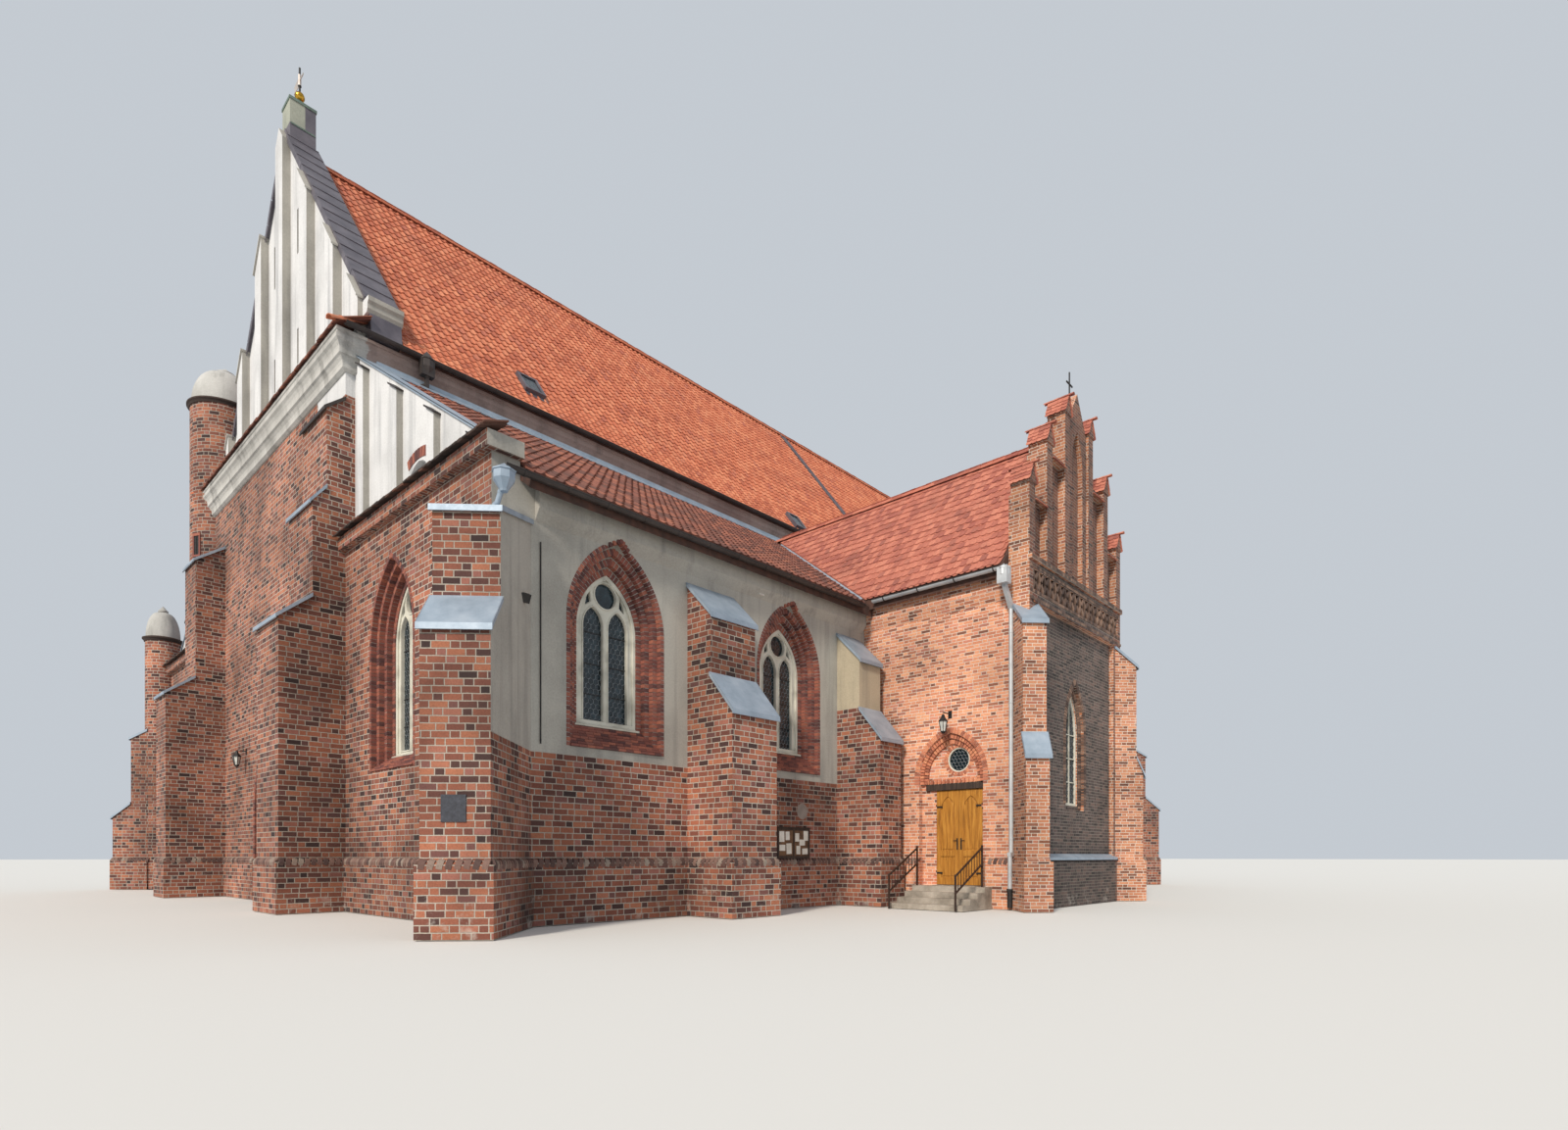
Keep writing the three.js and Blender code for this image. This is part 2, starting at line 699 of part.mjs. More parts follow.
const SOUTH_WINDOWS = [2540, 7450];
const SOUTH_WINDOWS_EAST = [18350, 24900];
const WEST_WINDOW_Y = 8200;

function halfGableLine(y) {
  return HALF_GABLE_TOP - HALF_GABLE_PITCH * (y - NAVE_HALF);
}

// Strips on the half gable: their middles and width
const STRIPS = [6350, 8110, 9800];
const STRIP_WIDTH = 320;
const STRIP_WEST = 70;
const STRIP_SHORT = 150;
const END_STRIP = 270;
// Height of the corbelled band under the half gable
const BAND_HEIGHT = 270;
const NICHE = [
  [8620, 8350],
  [9420, 8350],
  [9420, 8800],
  [9220, 8935],
  [9020, 8980],
  [8820, 8935],
  [8620, 8800],
];

function halfGableStrips(mirror) {
  const strips = STRIPS.map((middle) => [middle - STRIP_WIDTH / 2, middle + STRIP_WIDTH / 2]);
  strips.push([HALF_GABLE_END - END_STRIP, HALF_GABLE_END]);
  return strips.map(([a, b]) => alongX(mirror([
    [a, HALF_GABLE_FOOT - 10],
    [b, HALF_GABLE_FOOT - 10],
    [b, halfGableLine(b) - STRIP_SHORT],
    [a, halfGableLine(a) - STRIP_SHORT],
  ]), STRIP_WEST, HALF_GABLE_WEST + 10));
}

function buildAisleWestWall(name, side) {
  const near = NAVE_HALF + GAP;
  const far = AISLE_HALF;
  const mirror = (points) => points.map(([y, z]) => [side * y, z]);
  const lowerTop = HALF_GABLE_FOOT - BAND_HEIGHT + 10;
  const lower = alongX(mirror([[near, 0], [far, 0], [far, lowerTop], [near, lowerTop]]), 0, AISLE_WALL);
  const band = alongX(mirror([
    [near, HALF_GABLE_FOOT - BAND_HEIGHT],
    [far + CORBEL_OUT, HALF_GABLE_FOOT - BAND_HEIGHT],
    [far + CORBEL_OUT, HALF_GABLE_FOOT],
    [near, HALF_GABLE_FOOT],
  ]), -CORBEL_OUT, AISLE_WALL);
  const upper = alongX(mirror([
    [near, HALF_GABLE_FOOT - 10],
    [HALF_GABLE_END, HALF_GABLE_FOOT - 10],
    [HALF_GABLE_END, halfGableLine(HALF_GABLE_END)],
    [near, halfGableLine(near)],
  ]), HALF_GABLE_WEST, HALF_GABLE_EAST);
  const under = (y) => aisleRoofTop(y) - AISLE_ROOF_DEPTH - GAP;
  const behind = alongX(mirror([
    [near, HALF_GABLE_FOOT - 300],
    [HALF_GABLE_END, HALF_GABLE_FOOT - 300],
    [near, under(near)],
  ]), HALF_GABLE_EAST - 10, AISLE_WALL);
  const roofRoom = alongX(mirror([
    [near - 100, under(near - 100)],
    [AISLE_EAVE + 200, under(AISLE_EAVE + 200)],
    [AISLE_EAVE + 200, CORNICE_TOP],
    [near - 100, CORNICE_TOP],
  ]), HALF_GABLE_EAST, AISLE_WALL + 100);
  const plinth = alongX(mirror([
    [side < 0 ? near + 60 : near, 0],
    [far + PLINTH_OUT, 0],
    [far + PLINTH_OUT, PLINTH_TOP],
    [side < 0 ? near + 60 : near, PLINTH_TOP],
  ]), -PLINTH_OUT, AISLE_WALL);
  const corniceVoid = box(-1000, 3000, side < 0 ? -NAVE_HALF - CORNICE_OUT - GAP : 0,
    side < 0 ? 0 : NAVE_HALF + CORNICE_OUT + GAP, NAVE_WALL_TOP - GAP, CORNICE_TOP + 2000);
  const cuts = windowCuts(side * WEST_WINDOW_Y, 0, 1, AISLE_WALL, alongX, WEST_WINDOW);
  const niche = alongX(mirror(NICHE), -10, HALF_GABLE_WEST + 120);
  cuts.push(corniceVoid, roofRoom, niche, turretVoid(), lowTurretVoid());
  const solids = [lower, band, upper, behind, plinth, ...halfGableStrips(mirror)];
  addPiece(name, cutBy(joined(solids), cuts), "brick");
}

function buildAisleWestWindow(name, side) {
  addPiece(name, windowFrame(side * WEST_WINDOW_Y, 0, 1, alongX, WEST_WINDOW), "window_paint");
}

function southWallNotches() {
  const notches = [];
  for (const { low, high } of SOUTH_BUTTRESSES) {
    const keep = PLINTH_OUT + GAP;
    notches.push(box(low - keep, high + keep, -AISLE_HALF - 1000, -AISLE_HALF, -10, 1300));
  }
  notches.push(box(PORCH_WEST - PORCH_CORBEL - GAP, PORCH_EAST + PORCH_CORBEL + GAP, -AISLE_HALF - 1000,
    -AISLE_HALF, -10, 9000));
  return notches;
}

function buildSouthAisleWalls() {
  const profile = aisleWallProfile(-1);
  const start = AISLE_WALL + GAP;
  const westWall = alongX(profile, start, INNER_ARCH_WEST - GAP);
  const eastWall = alongX(profile, INNER_ARCH_EAST + GAP, AISLE_EAST - AISLE_WALL - GAP);
  const cutsAt = (x) => windowCuts(x, -AISLE_HALF, 1, AISLE_WALL, alongY, SIDE_WINDOW);
  const westCuts = SOUTH_WINDOWS.flatMap(cutsAt);
  const eastCuts = SOUTH_WINDOWS_EAST.flatMap(cutsAt);
  addPiece("south_aisle_wall", cutBy(westWall, [...westCuts, ...southWallNotches()]), "grey_plaster");
  const eastSolid = cutBy(eastWall, [...eastCuts, ...southWallNotches()]);
  const eastButtress = bondedButtress(-90, EAST_BUTTRESS, -AISLE_HALF);
  addPiece("south_aisle_wall_east", eastSolid.add(eastButtress), "grey_plaster");
  SOUTH_WINDOWS.forEach((x, i) => {
    addPiece("south_window_" + (i + 1), windowFrame(x, -AISLE_HALF, 1, alongY, SIDE_WINDOW), "window_paint");
  });
  addPiece("south_aisle_glazing", glazingSheet(SOUTH_WINDOWS_EAST, -1), "glass");
  const middle = (INNER_ARCH_WEST + INNER_ARCH_EAST) / 2;
  const half = (INNER_ARCH_EAST - INNER_ARCH_WEST) / 2 - GAP;
  const head = alongX(profile, middle - half, middle + half);
  const opening = alongY(archOutline(middle, half + 1, -100, 2700, 4300), -AISLE_HALF - 400, 0);
  const below = box(middle - half - 10, middle + half + 10, -AISLE_HALF - 400, 0, -10, 3000);
  addPiece("porch_inner_arch", cutBy(head, [opening, below, ...southWallNotches()]), "grey_plaster");
}

// A buttress that is one mass with the wall behind it
function bondedButtress(degrees, x, y) {
  const root = box(-50, 400, -500, 500, 0, AISLE_STAGES[1].shoulder);
  return placed(joined([buttressSolid(AISLE_STAGES, 500), root]), degrees, x, y);
}

// One sheet of glass behind the windows of a wall
function glazingSheet(windows, side) {
  const back = AISLE_HALF - AISLE_WALL;
  const near = side * (back - GAP);
  const far = side * (back - 30);
  return box(windows[0] - 1300, windows[windows.length - 1] + 1300, Math.min(near, far), Math.max(near, far),
    SIDE_WINDOW.foot - 150, SIDE_WINDOW.crown + 150);
}

const NORTH_WINDOWS = [2440, 7700, 12960, 18220, 23480];
const NORTH_BUTTRESSES = [5070, 10330, 15590, 20850, 26110];

function buildNorthAisleWall() {
  const wall = alongX(aisleWallProfile(1), AISLE_WALL + GAP, AISLE_EAST - AISLE_WALL - GAP);
  const cuts = NORTH_WINDOWS.flatMap((x) => windowCuts(x, AISLE_HALF, -1, AISLE_WALL, alongY, SIDE_WINDOW));
  const buttresses = NORTH_BUTTRESSES.map((x) => bondedButtress(90, x, AISLE_HALF));
  const whole = joined([cutBy(wall, cuts), ...buttresses]).subtract(lowTurretVoid());
  addPiece("north_aisle_wall", whole, "brick");
  addPiece("north_aisle_glazing", glazingSheet(NORTH_WINDOWS, 1), "glass");
}

function buildAisleEastWall(name, side) {
  const near = NAVE_HALF + GAP;
  const under = (y) => aisleRoofTop(y) - AISLE_ROOF_DEPTH - GAP;
  const outline = [
    [near, 0],
    [AISLE_HALF, 0],
    [AISLE_HALF, under(AISLE_HALF)],
    [near, under(near)],
  ].map(([y, z]) => [side * y, z]);
  const wall = alongX(outline, AISLE_EAST - AISLE_WALL, AISLE_EAST);
  const inside = box(0, AISLE_EAST - AISLE_WALL / 2, -AISLE_HALF - 400, AISLE_HALF + 400, -10, 9000);
  const buttress = cornerButtress(EAST_CORNER_STAGES, CORNER_HALF, 45 * side, AISLE_EAST, side * AISLE_HALF,
    [inside]);
  addPiece(name, joined([wall, buttress]), "brick");
}

function buildAisleRoof(name, side, start, end, eave) {
  const inner = NAVE_HALF + GAP;
  const points = [
    [inner, aisleRoofTop(inner)],
    [eave, aisleRoofTop(eave)],
    [eave, aisleRoofTop(eave) - AISLE_ROOF_DEPTH],
    [inner, aisleRoofTop(inner) - AISLE_ROOF_DEPTH],
  ].map(([y, z]) => [side * y, z]);
  const roof = alongX(points, start, end);
  addPiece(name, cutBy(roof, [turretVoid(), lowTurretVoid()]), "old_tile");
}

// The south roof is in three lengths, the middle one cut short against the porch
function buildAisleRoofs() {
  const start = HALF_GABLE_EAST + GAP;
  const end = AISLE_EAST + 100;
  const porchStart = PORCH_WEST - PORCH_CORBEL - GAP;
  const porchEnd = PORCH_EAST + PORCH_CORBEL + GAP;
  buildAisleRoof("south_aisle_roof", -1, start, porchStart, AISLE_EAVE);
  buildAisleRoof("south_aisle_roof_middle", -1, porchStart + GAP, porchEnd - GAP, AISLE_HALF);
  buildAisleRoof("south_aisle_roof_east", -1, porchEnd, end, AISLE_EAVE);
  buildAisleRoof("north_aisle_roof", 1, start, end, AISLE_EAVE);
}

// Turrets at the north-west corners of the nave and of the north aisle

const TURRET = { x: 450, y: 6350, radius: 950, foot: 0, ring: 15700, dome: 17250 };
const LOW_TURRET = { x: -150, y: 12450, radius: 540, foot: 0, ring: 9250, dome: 10600 };

function domeProfile({ radius, foot, ring, dome }) {
  const lip = radius + 90;
  const bulge = radius * 0.97;
  const neck = ring + 120;
  const height = dome - neck - 260;
  const points = [[0, foot], [radius, foot], [radius, ring], [lip, ring + 40], [lip, neck]];
  const steps = 6;
  for (let i = 0; i < steps; i += 1) {
    const angle = (Math.PI / 2) * (i / steps);
    points.push([bulge * Math.cos(angle), neck + 10 + height * Math.sin(angle)]);
  }
  const knob = radius * 0.22;
  points.push([knob, dome - 230], [knob * 1.25, dome - 190], [knob * 1.25, dome - 150], [0, dome]);
  return points;
}

function turretSolid(turret) {
  return turned(turret.x, turret.y, domeProfile(turret), 24);
}

function turretVoid() {
  return cylinder(TURRET.x, TURRET.y, -100, 30000, TURRET.radius + 2 * GAP, 24);
}

function lowTurretVoid() {
  return cylinder(LOW_TURRET.x, LOW_TURRET.y, -100, 30000, LOW_TURRET.radius + 2 * GAP, 24);
}

function buildTurrets() {
  addPiece("stair_turret", turretSolid(TURRET), "brick");
  addPiece("aisle_turret", turretSolid(LOW_TURRET), "brick");
}

// Porch walls

function porchRoofTop(x) {
  return PORCH_RIDGE - PORCH_PITCH * Math.abs(x - PORCH_MIDDLE);
}

function porchSideProfile(face, inward) {
  const inside = face + inward * PORCH_WALL;
  const corbel = face - inward * PORCH_CORBEL;
  const under = (x) => porchRoofTop(x) - PORCH_ROOF_DEPTH - GAP;
  return [
    [inside, 0],
    [inside, under(inside)],
    [corbel, under(corbel)],
    [corbel, CORBEL_HEAD + 100],
    [face, CORBEL_FOOT + 50],
    [face, PLINTH_SLOPE],
    [face - inward * PLINTH_OUT, PLINTH_TOP],
    [face - inward * PLINTH_OUT, 0],
  ];
}

// The arched recess that holds the doorway, the lintel and the round window
const RECESS = { half: 875, foot: 510, spring: 3150, crown: 4210, depth: 150 };
const RECESS_MIDDLE = -14870;
const LINTEL = { low: DOOR_HEAD, high: 2995, north: -14130, south: -15780, west: 10500, east: 10700 };
const OCULUS = { y: -15020, z: 3560, radius: 300 };

function doorwayCuts() {
  const recess = archOutline(RECESS_MIDDLE, RECESS.half, RECESS.foot, RECESS.spring, RECESS.crown);
  const lintel = box(LINTEL.west - GAP, LINTEL.east + GAP, LINTEL.south - GAP, LINTEL.north + GAP,
    LINTEL.low - GAP, LINTEL.high + GAP);
  return [alongX(recess, PORCH_WEST - 300, PORCH_WEST + RECESS.depth), lintel, oculusHole(OCULUS.radius)];
}

function oculusHole(radius) {
  const points = [];
  for (let i = 0; i < 16; i += 1) {
    const angle = (2 * Math.PI * i) / 16;
    points.push([OCULUS.y + radius * Math.cos(angle), OCULUS.z + radius * Math.sin(angle)]);
  }
  return alongX(points, PORCH_WEST - 300, PORCH_WEST + PORCH_WALL + 100);
}

// Hinge places: the pin stands in front of the leaf, in the recess
const HINGE_X = PORCH_WEST + 130;
const HINGE_SIDE = 6;
const KNUCKLE_RADIUS = 12;
const KNUCKLES = [760, 2380];
const KNUCKLE_HEIGHT = 60;
const BARREL_HEIGHT = 110;

function wallKnuckles(edge, away) {
  const axis = edge - away * HINGE_SIDE;
  const solids = [];
  for (const z of KNUCKLES) {
    const top = z + KNUCKLE_HEIGHT;
    const far = edge + away * 70;
    solids.push(cylinder(HINGE_X, axis, z, top, KNUCKLE_RADIUS, 10));
    solids.push(box(HINGE_X - 6, HINGE_X + 6, Math.min(axis, far), Math.max(axis, far), z, top));
    const root = PORCH_WEST + RECESS.depth + 5;
    solids.push(box(HINGE_X, root, Math.min(edge, far), Math.max(edge, far), z, top));
  }
  return solids;
}

function buildPorchWestWall() {
  const profile = porchSideProfile(PORCH_WEST, 1);
  const southEnd = PORCH_SOUTH + PORCH_GABLE_DEPTH + GAP;
  const north = cutBy(alongY(profile, DOOR_NORTH, -AISLE_HALF - GAP), doorwayCuts());
  const south = cutBy(alongY(profile, southEnd, DOOR_SOUTH), doorwayCuts());
  const over = box(PORCH_WEST - 500, PORCH_WEST + 2000, DOOR_SOUTH + GAP, DOOR_NORTH - GAP, DOOR_HEAD, 9500);
  const head = cutBy(alongY(profile, DOOR_SOUTH, DOOR_NORTH).intersect(over), doorwayCuts());
  addPiece("porch_west_wall_north", joined([north, ...wallKnuckles(DOOR_NORTH, 1)]), "porch_brick");
  addPiece("porch_west_wall_south", joined([south, ...wallKnuckles(DOOR_SOUTH, -1)]), "porch_brick");
  addPiece("porch_doorway_head", head, "porch_brick");
  addPiece("door_lintel", box(LINTEL.west, LINTEL.east, LINTEL.south, LINTEL.north, LINTEL.low, LINTEL.high),
    "dark_wood");
  const pane = oculusHole(OCULUS.radius - GAP).intersect(
    box(PORCH_WEST + 200, PORCH_WEST + 260, -20000, 0, 0, 9000));
  addPiece("porch_round_window", pane, "glass");
}

function buildPorchEastWall() {
  const profile = porchSideProfile(PORCH_EAST, -1);
  const southEnd = PORCH_SOUTH + PORCH_GABLE_DEPTH + GAP;
  addPiece("porch_east_wall", alongY(profile, southEnd, -AISLE_HALF - GAP), "porch_brick");
}

// Door leaves: each hangs on two barrels over the wall's knuckles
const LEAF_LOW = FLOOR_TOP + 8;
const LEAF_HIGH = DOOR_HEAD - 8;
const LEAF_WEST = PORCH_WEST + RECESS.depth + 2;

function doorLeaf(edge, away) {
  const side = edge - away * HINGE_SIDE;
  const meeting = DOOR_MIDDLE + away * MEETING_GAP;
  const leaf = box(LEAF_WEST, LEAF_WEST + LEAF_DEPTH, Math.min(side, meeting), Math.max(side, meeting),
    LEAF_LOW, LEAF_HIGH);
  const parts = [leaf];
  for (const z of KNUCKLES) {
    const low = z + KNUCKLE_HEIGHT + GAP;
    const strapEnd = side - away * 160;
    parts.push(cylinder(HINGE_X, side, low, low + BARREL_HEIGHT, KNUCKLE_RADIUS, 10));
    const web = side - away * 10;
    const barrelTop = low + BARREL_HEIGHT;
    parts.push(box(HINGE_X, LEAF_WEST + 5, Math.min(side, web), Math.max(side, web), low, barrelTop));
    parts.push(box(LEAF_WEST - 7, LEAF_WEST + 5, Math.min(side, strapEnd), Math.max(side, strapEnd),
      low + 30, low + 80));
  }
  return joined(parts);
}

function buildDoors() {
  addPiece("door_leaf_north", doorLeaf(DOOR_NORTH, 1), "wood");
  addPiece("door_leaf_south", doorLeaf(DOOR_SOUTH, -1), "wood");
}

// Stepped south gable of the porch
const PIERS = [
  { from: 0, eave: 9700, ridge: 10150 },
  { from: 930, eave: 10950, ridge: 11400 },
  { from: 1970, eave: 12050, ridge: 12500 },
];
const PIER_WIDTH = 300;
const PIER_DEPTH = 450;
const STEP_FRONT = 180;
const STEP_TOPS = [9450, 10750];
const LEDGE = { low: 7930, high: 8050, out: 60 };
const LOWER_LEDGE = { low: 6990, high: 7100, out: 40 };
const PANEL = { inset: 500, foot: 1230, head: 6990, depth: 120 };
const LANCET = { half: 400, foot: 2500, spring: 4300, crown: 5350 };
const PEAK = { half: 580, eave: 11950, top: 12860 };

function pier(x, { eave, ridge }) {
  const middle = x + PIER_WIDTH / 2;
  const shaft = box(x, x + PIER_WIDTH, PORCH_SOUTH, PORCH_SOUTH + PIER_DEPTH, LEDGE.low, eave + 10);
  const cap = alongY([
    [x - 40, eave - 20],
    [x + PIER_WIDTH + 40, eave - 20],
    [middle, ridge],
  ], PORCH_SOUTH - 20, PORCH_SOUTH + PIER_DEPTH);
  return joined([shaft, cap]);
}

// Iron cross on the peak
function gableCross() {
  const y = PORCH_SOUTH + 260;
  const upright = box(PORCH_MIDDLE - 18, PORCH_MIDDLE + 18, y - 12, y + 12, PEAK.top - 40, 13500);
  const arms = box(PORCH_MIDDLE - 180, PORCH_MIDDLE + 180, y - 12, y + 12, 13180, 13216);
  return upright.add(arms);
}

function buildPorchGable() {
  const back = PORCH_SOUTH + PORCH_GABLE_DEPTH;
  const wall = box(PORCH_WEST, PORCH_EAST, PORCH_SOUTH, back, 0, LEDGE.low + 10);
  const plinth = box(PORCH_WEST - PLINTH_OUT, PORCH_EAST + PLINTH_OUT, PORCH_SOUTH - PLINTH_OUT, back,
    0, PLINTH_TOP);
  const ledge = box(PORCH_WEST, PORCH_EAST, PORCH_SOUTH - LEDGE.out, back, LEDGE.low, LEDGE.high);
  const lowerLedge = box(PORCH_WEST + 200, PORCH_EAST - 200, PORCH_SOUTH - LOWER_LEDGE.out, PORCH_SOUTH + 10,
    LOWER_LEDGE.low, LOWER_LEDGE.high);
  const stepFront = PORCH_SOUTH + STEP_FRONT;
  const second = PORCH_WEST + PIERS[1].from;
  const third = PORCH_WEST + PIERS[2].from;
  const mirror = (x) => 2 * PORCH_MIDDLE - x;
  const stepOutline = [
    [PORCH_WEST, LEDGE.low],
    [PORCH_EAST, LEDGE.low],
    [PORCH_EAST, STEP_TOPS[0]],
    [mirror(second), STEP_TOPS[0]],
    [mirror(second), STEP_TOPS[1]],
    [mirror(third), STEP_TOPS[1]],
    [mirror(third), PEAK.eave],
    [third, PEAK.eave],
    [third, STEP_TOPS[1]],
    [second, STEP_TOPS[1]],
    [second, STEP_TOPS[0]],
    [PORCH_WEST, STEP_TOPS[0]],
  ];
  const steps = alongY(stepOutline, stepFront, back);
  const copings = [];
  for (const flip of [(x) => x, mirror]) {
    const spans = [[PORCH_WEST, second, STEP_TOPS[0]], [second, third, STEP_TOPS[1]]];
    for (const [a, b, top] of spans) {
      copings.push(box(Math.min(flip(a), flip(b)), Math.max(flip(a), flip(b)), PORCH_SOUTH + 20, back,
        top - 90, top + 20));
    }
  }
  const peakBlock = alongY([
    [PORCH_MIDDLE - PEAK.half, LEDGE.low],
    [PORCH_MIDDLE + PEAK.half, LEDGE.low],
    [PORCH_MIDDLE + PEAK.half, PEAK.eave],
    [PORCH_MIDDLE, PEAK.top],
    [PORCH_MIDDLE - PEAK.half, PEAK.eave],
  ], PORCH_SOUTH + 60, back);
  const niche = alongY(archOutline(PORCH_MIDDLE, 330, LEDGE.high, 11000, 11900), PORCH_SOUTH - 100,
    PORCH_SOUTH + 250);
  const piers = [];
  for (const spec of PIERS) {
    piers.push(pier(PORCH_WEST + spec.from, spec));
    piers.push(pier(mirror(PORCH_WEST + spec.from) - PIER_WIDTH, spec));
  }
  const panel = box(PORCH_WEST + PANEL.inset, PORCH_EAST - PANEL.inset, PORCH_SOUTH - 200,
    PORCH_SOUTH + PANEL.depth, PANEL.foot, PANEL.head);
  const frieze = box(PORCH_WEST + 200, PORCH_EAST - 200, PORCH_SOUTH - 200, PORCH_SOUTH + 110, 7300, 7760);
  const lancet = alongY(archOutline(PORCH_MIDDLE, LANCET.half, LANCET.foot, LANCET.spring, LANCET.crown),
    PORCH_SOUTH - 200, back + 100);
  const reveal = alongY(archOutline(PORCH_MIDDLE, LANCET.half + 170, LANCET.foot - 120, LANCET.spring,
    LANCET.crown + 200), PORCH_SOUTH - 200, PORCH_SOUTH + PANEL.depth + 110);
  const peak = cutBy(peakBlock, [niche]);
  const front = cutBy(joined([wall, plinth, ledge]), [panel, frieze, lancet, reveal]);
  const parts = [front, lowerLedge, steps, peak, ...copings, ...piers, gableCross()];
  addPiece("porch_south_gable", joined(parts), "porch_brick");
  const { half, foot, spring, crown } = LANCET;
  const frame = archOutline(PORCH_MIDDLE, half - GAP, foot + GAP, spring, crown - 2);
  addPiece("porch_window", alongY(frame, PORCH_SOUTH + 300, PORCH_SOUTH + 360), "glass");
}

function buildPorchRoof() {
  const west = PORCH_WEST - PORCH_OVER;
  const east = PORCH_EAST + PORCH_OVER;
  const outline = [
    [west, porchRoofTop(west) - PORCH_ROOF_DEPTH],
    [PORCH_MIDDLE, PORCH_RIDGE - PORCH_ROOF_DEPTH],
    [east, porchRoofTop(east) - PORCH_ROOF_DEPTH],
    [east, porchRoofTop(east)],
    [PORCH_MIDDLE, PORCH_RIDGE],
    [west, porchRoofTop(west)],
  ];
  const south = PORCH_SOUTH + PORCH_GABLE_DEPTH + GAP;
  const roof = alongY(outline, south, -NAVE_HALF - CORNICE_OUT - 10);
  const reach = AISLE_EAVE + 10;
  const belowAisleRoof = alongX([
    [-reach, aisleRoofTop(reach) + GAP],
    [-NAVE_HALF, aisleRoofTop(NAVE_HALF) + GAP],
    [-NAVE_HALF, 0],
    [-reach, 0],
  ], PORCH_WEST - 1000, PORCH_EAST + 1000);
  const throughWall = box(PORCH_WEST - PORCH_CORBEL + 1, PORCH_EAST + PORCH_CORBEL - 1, -AISLE_HALF - 500,
    -AISLE_HALF, 0, 20000);
  addPiece("porch_roof", cutBy(roof, [belowAisleRoof.subtract(throughWall)]), "roof_tile");
}

const PORCH_BUTTRESS_HALF = 265;
const PORCH_STAGES = [
  { reach: 520, shoulder: 3550, head: 3950 },
  { reach: 330, shoulder: 6480, head: 6750 },
];

function buildPorchButtresses() {
  const body = wallRoom(PORCH_WEST, PORCH_EAST, PORCH_SOUTH, -AISLE_HALF);
  const west = cornerButtress(PORCH_STAGES, PORCH_BUTTRESS_HALF, 225, PORCH_WEST, PORCH_SOUTH, [body]);
  const east = cornerButtress(PORCH_STAGES, PORCH_BUTTRESS_HALF, -45, PORCH_EAST, PORCH_SOUTH, [body]);
  addPiece("porch_buttress_west", west, "porch_brick");
  addPiece("porch_buttress_east", east, "porch_brick");
}

// Steps and handrails in front of the porch door
const STEPS = { count: 4, first: 9000, tread: 330, top: 510, north: -14050, south: -16000 };

function buildSteps() {
  const back = PORCH_WEST - PLINTH_OUT - GAP;
  const flight = [];
  for (let i = 0; i < STEPS.count; i += 1) {
    const front = STEPS.first + STEPS.tread * i;
    const height = (STEPS.top * (i + 1)) / STEPS.count;
    flight.push(box(front, back, STEPS.south, STEPS.north, 0, height));
  }
  addPiece("porch_steps", joined(flight), "stone");
}

const RAIL = { front: 8860, back: 10060, frontTop: 790, backTop: 1450, size: 36, drop: 380 };

function handrail(y) {
  const half = RAIL.size / 2;
  const frontPost = box(RAIL.front - half, RAIL.front + half, y - half, y + half, 0, RAIL.frontTop);
  const backPost = box(RAIL.back - half, RAIL.back + half, y - half, y + half, STEPS.top + GAP, RAIL.backTop);
  const bars = [0, RAIL.drop].map((drop) => alongY([
    [RAIL.front - half, RAIL.frontTop - RAIL.size - drop],
    [RAIL.back + half, RAIL.backTop - RAIL.size - drop],
    [RAIL.back + half, RAIL.backTop - drop],
    [RAIL.front - half, RAIL.frontTop - drop],
  ], y - half, y + half));
  return joined([frontPost, backPost, ...bars]);
}

function buildHandrails() {
  addPiece("porch_handrail_north", handrail(STEPS.north - 100), "iron");
  addPiece("porch_handrail_south", handrail(STEPS.south + 100), "iron");
}

// Gutters: an open channel drawn as a half ring
const CHANNEL = 75;

function channelOutline(u, z) {
  const outer = [];
  const inner = [];
  for (let i = 0; i <= 6; i += 1) {
    const angle = Math.PI + (Math.PI * i) / 6;
    outer.push([u + CHANNEL * Math.cos(angle), z + CHANNEL * Math.sin(angle)]);
    inner.unshift([u + (CHANNEL - 12) * Math.cos(angle), z + (CHANNEL - 12) * Math.sin(angle)]);
  }
  return [...outer, ...inner];
}

function buildGutters() {
  const naveY = ROOF_HALF + CHANNEL + GAP;
  const naveZ = CORNICE_TOP + 60;
  const hopper = box(1450, 1750, -naveY - 110, -naveY + 60, 12420, 12790);
  const spout = box(1560, 1640, -naveY - 60, -naveY + 20, 12130, 12430);
  const join = box(1560, 1640, -naveY - 20, -naveY + 20, 12700, 12830);
  const channel = alongX(channelOutline(-naveY, naveZ), -150, NAVE_LENGTH);
  addPiece("nave_gutter", joined([channel, hopper, spout, join]), "zinc");
  const aisleY = AISLE_EAVE + CHANNEL + GAP;
  const aisleZ = AISLE_EAVE_TOP - 60;
  const west = alongX(channelOutline(-aisleY, aisleZ), 0, PORCH_WEST - 600);
  addPiece("aisle_gutter_south", west, "zinc");
  const porchX = PORCH_WEST - PORCH_OVER - CHANNEL - GAP;
  const porchZ = porchRoofTop(PORCH_WEST - PORCH_OVER) - 60;
  const porch = alongY(channelOutline(porchX, porchZ), PORCH_SOUTH + 320, -AISLE_EAVE - 2 * CHANNEL - 40);
  addPiece("porch_gutter", joined([porch, ...porchDownpipe(porchX, porchZ)]), "zinc");
}

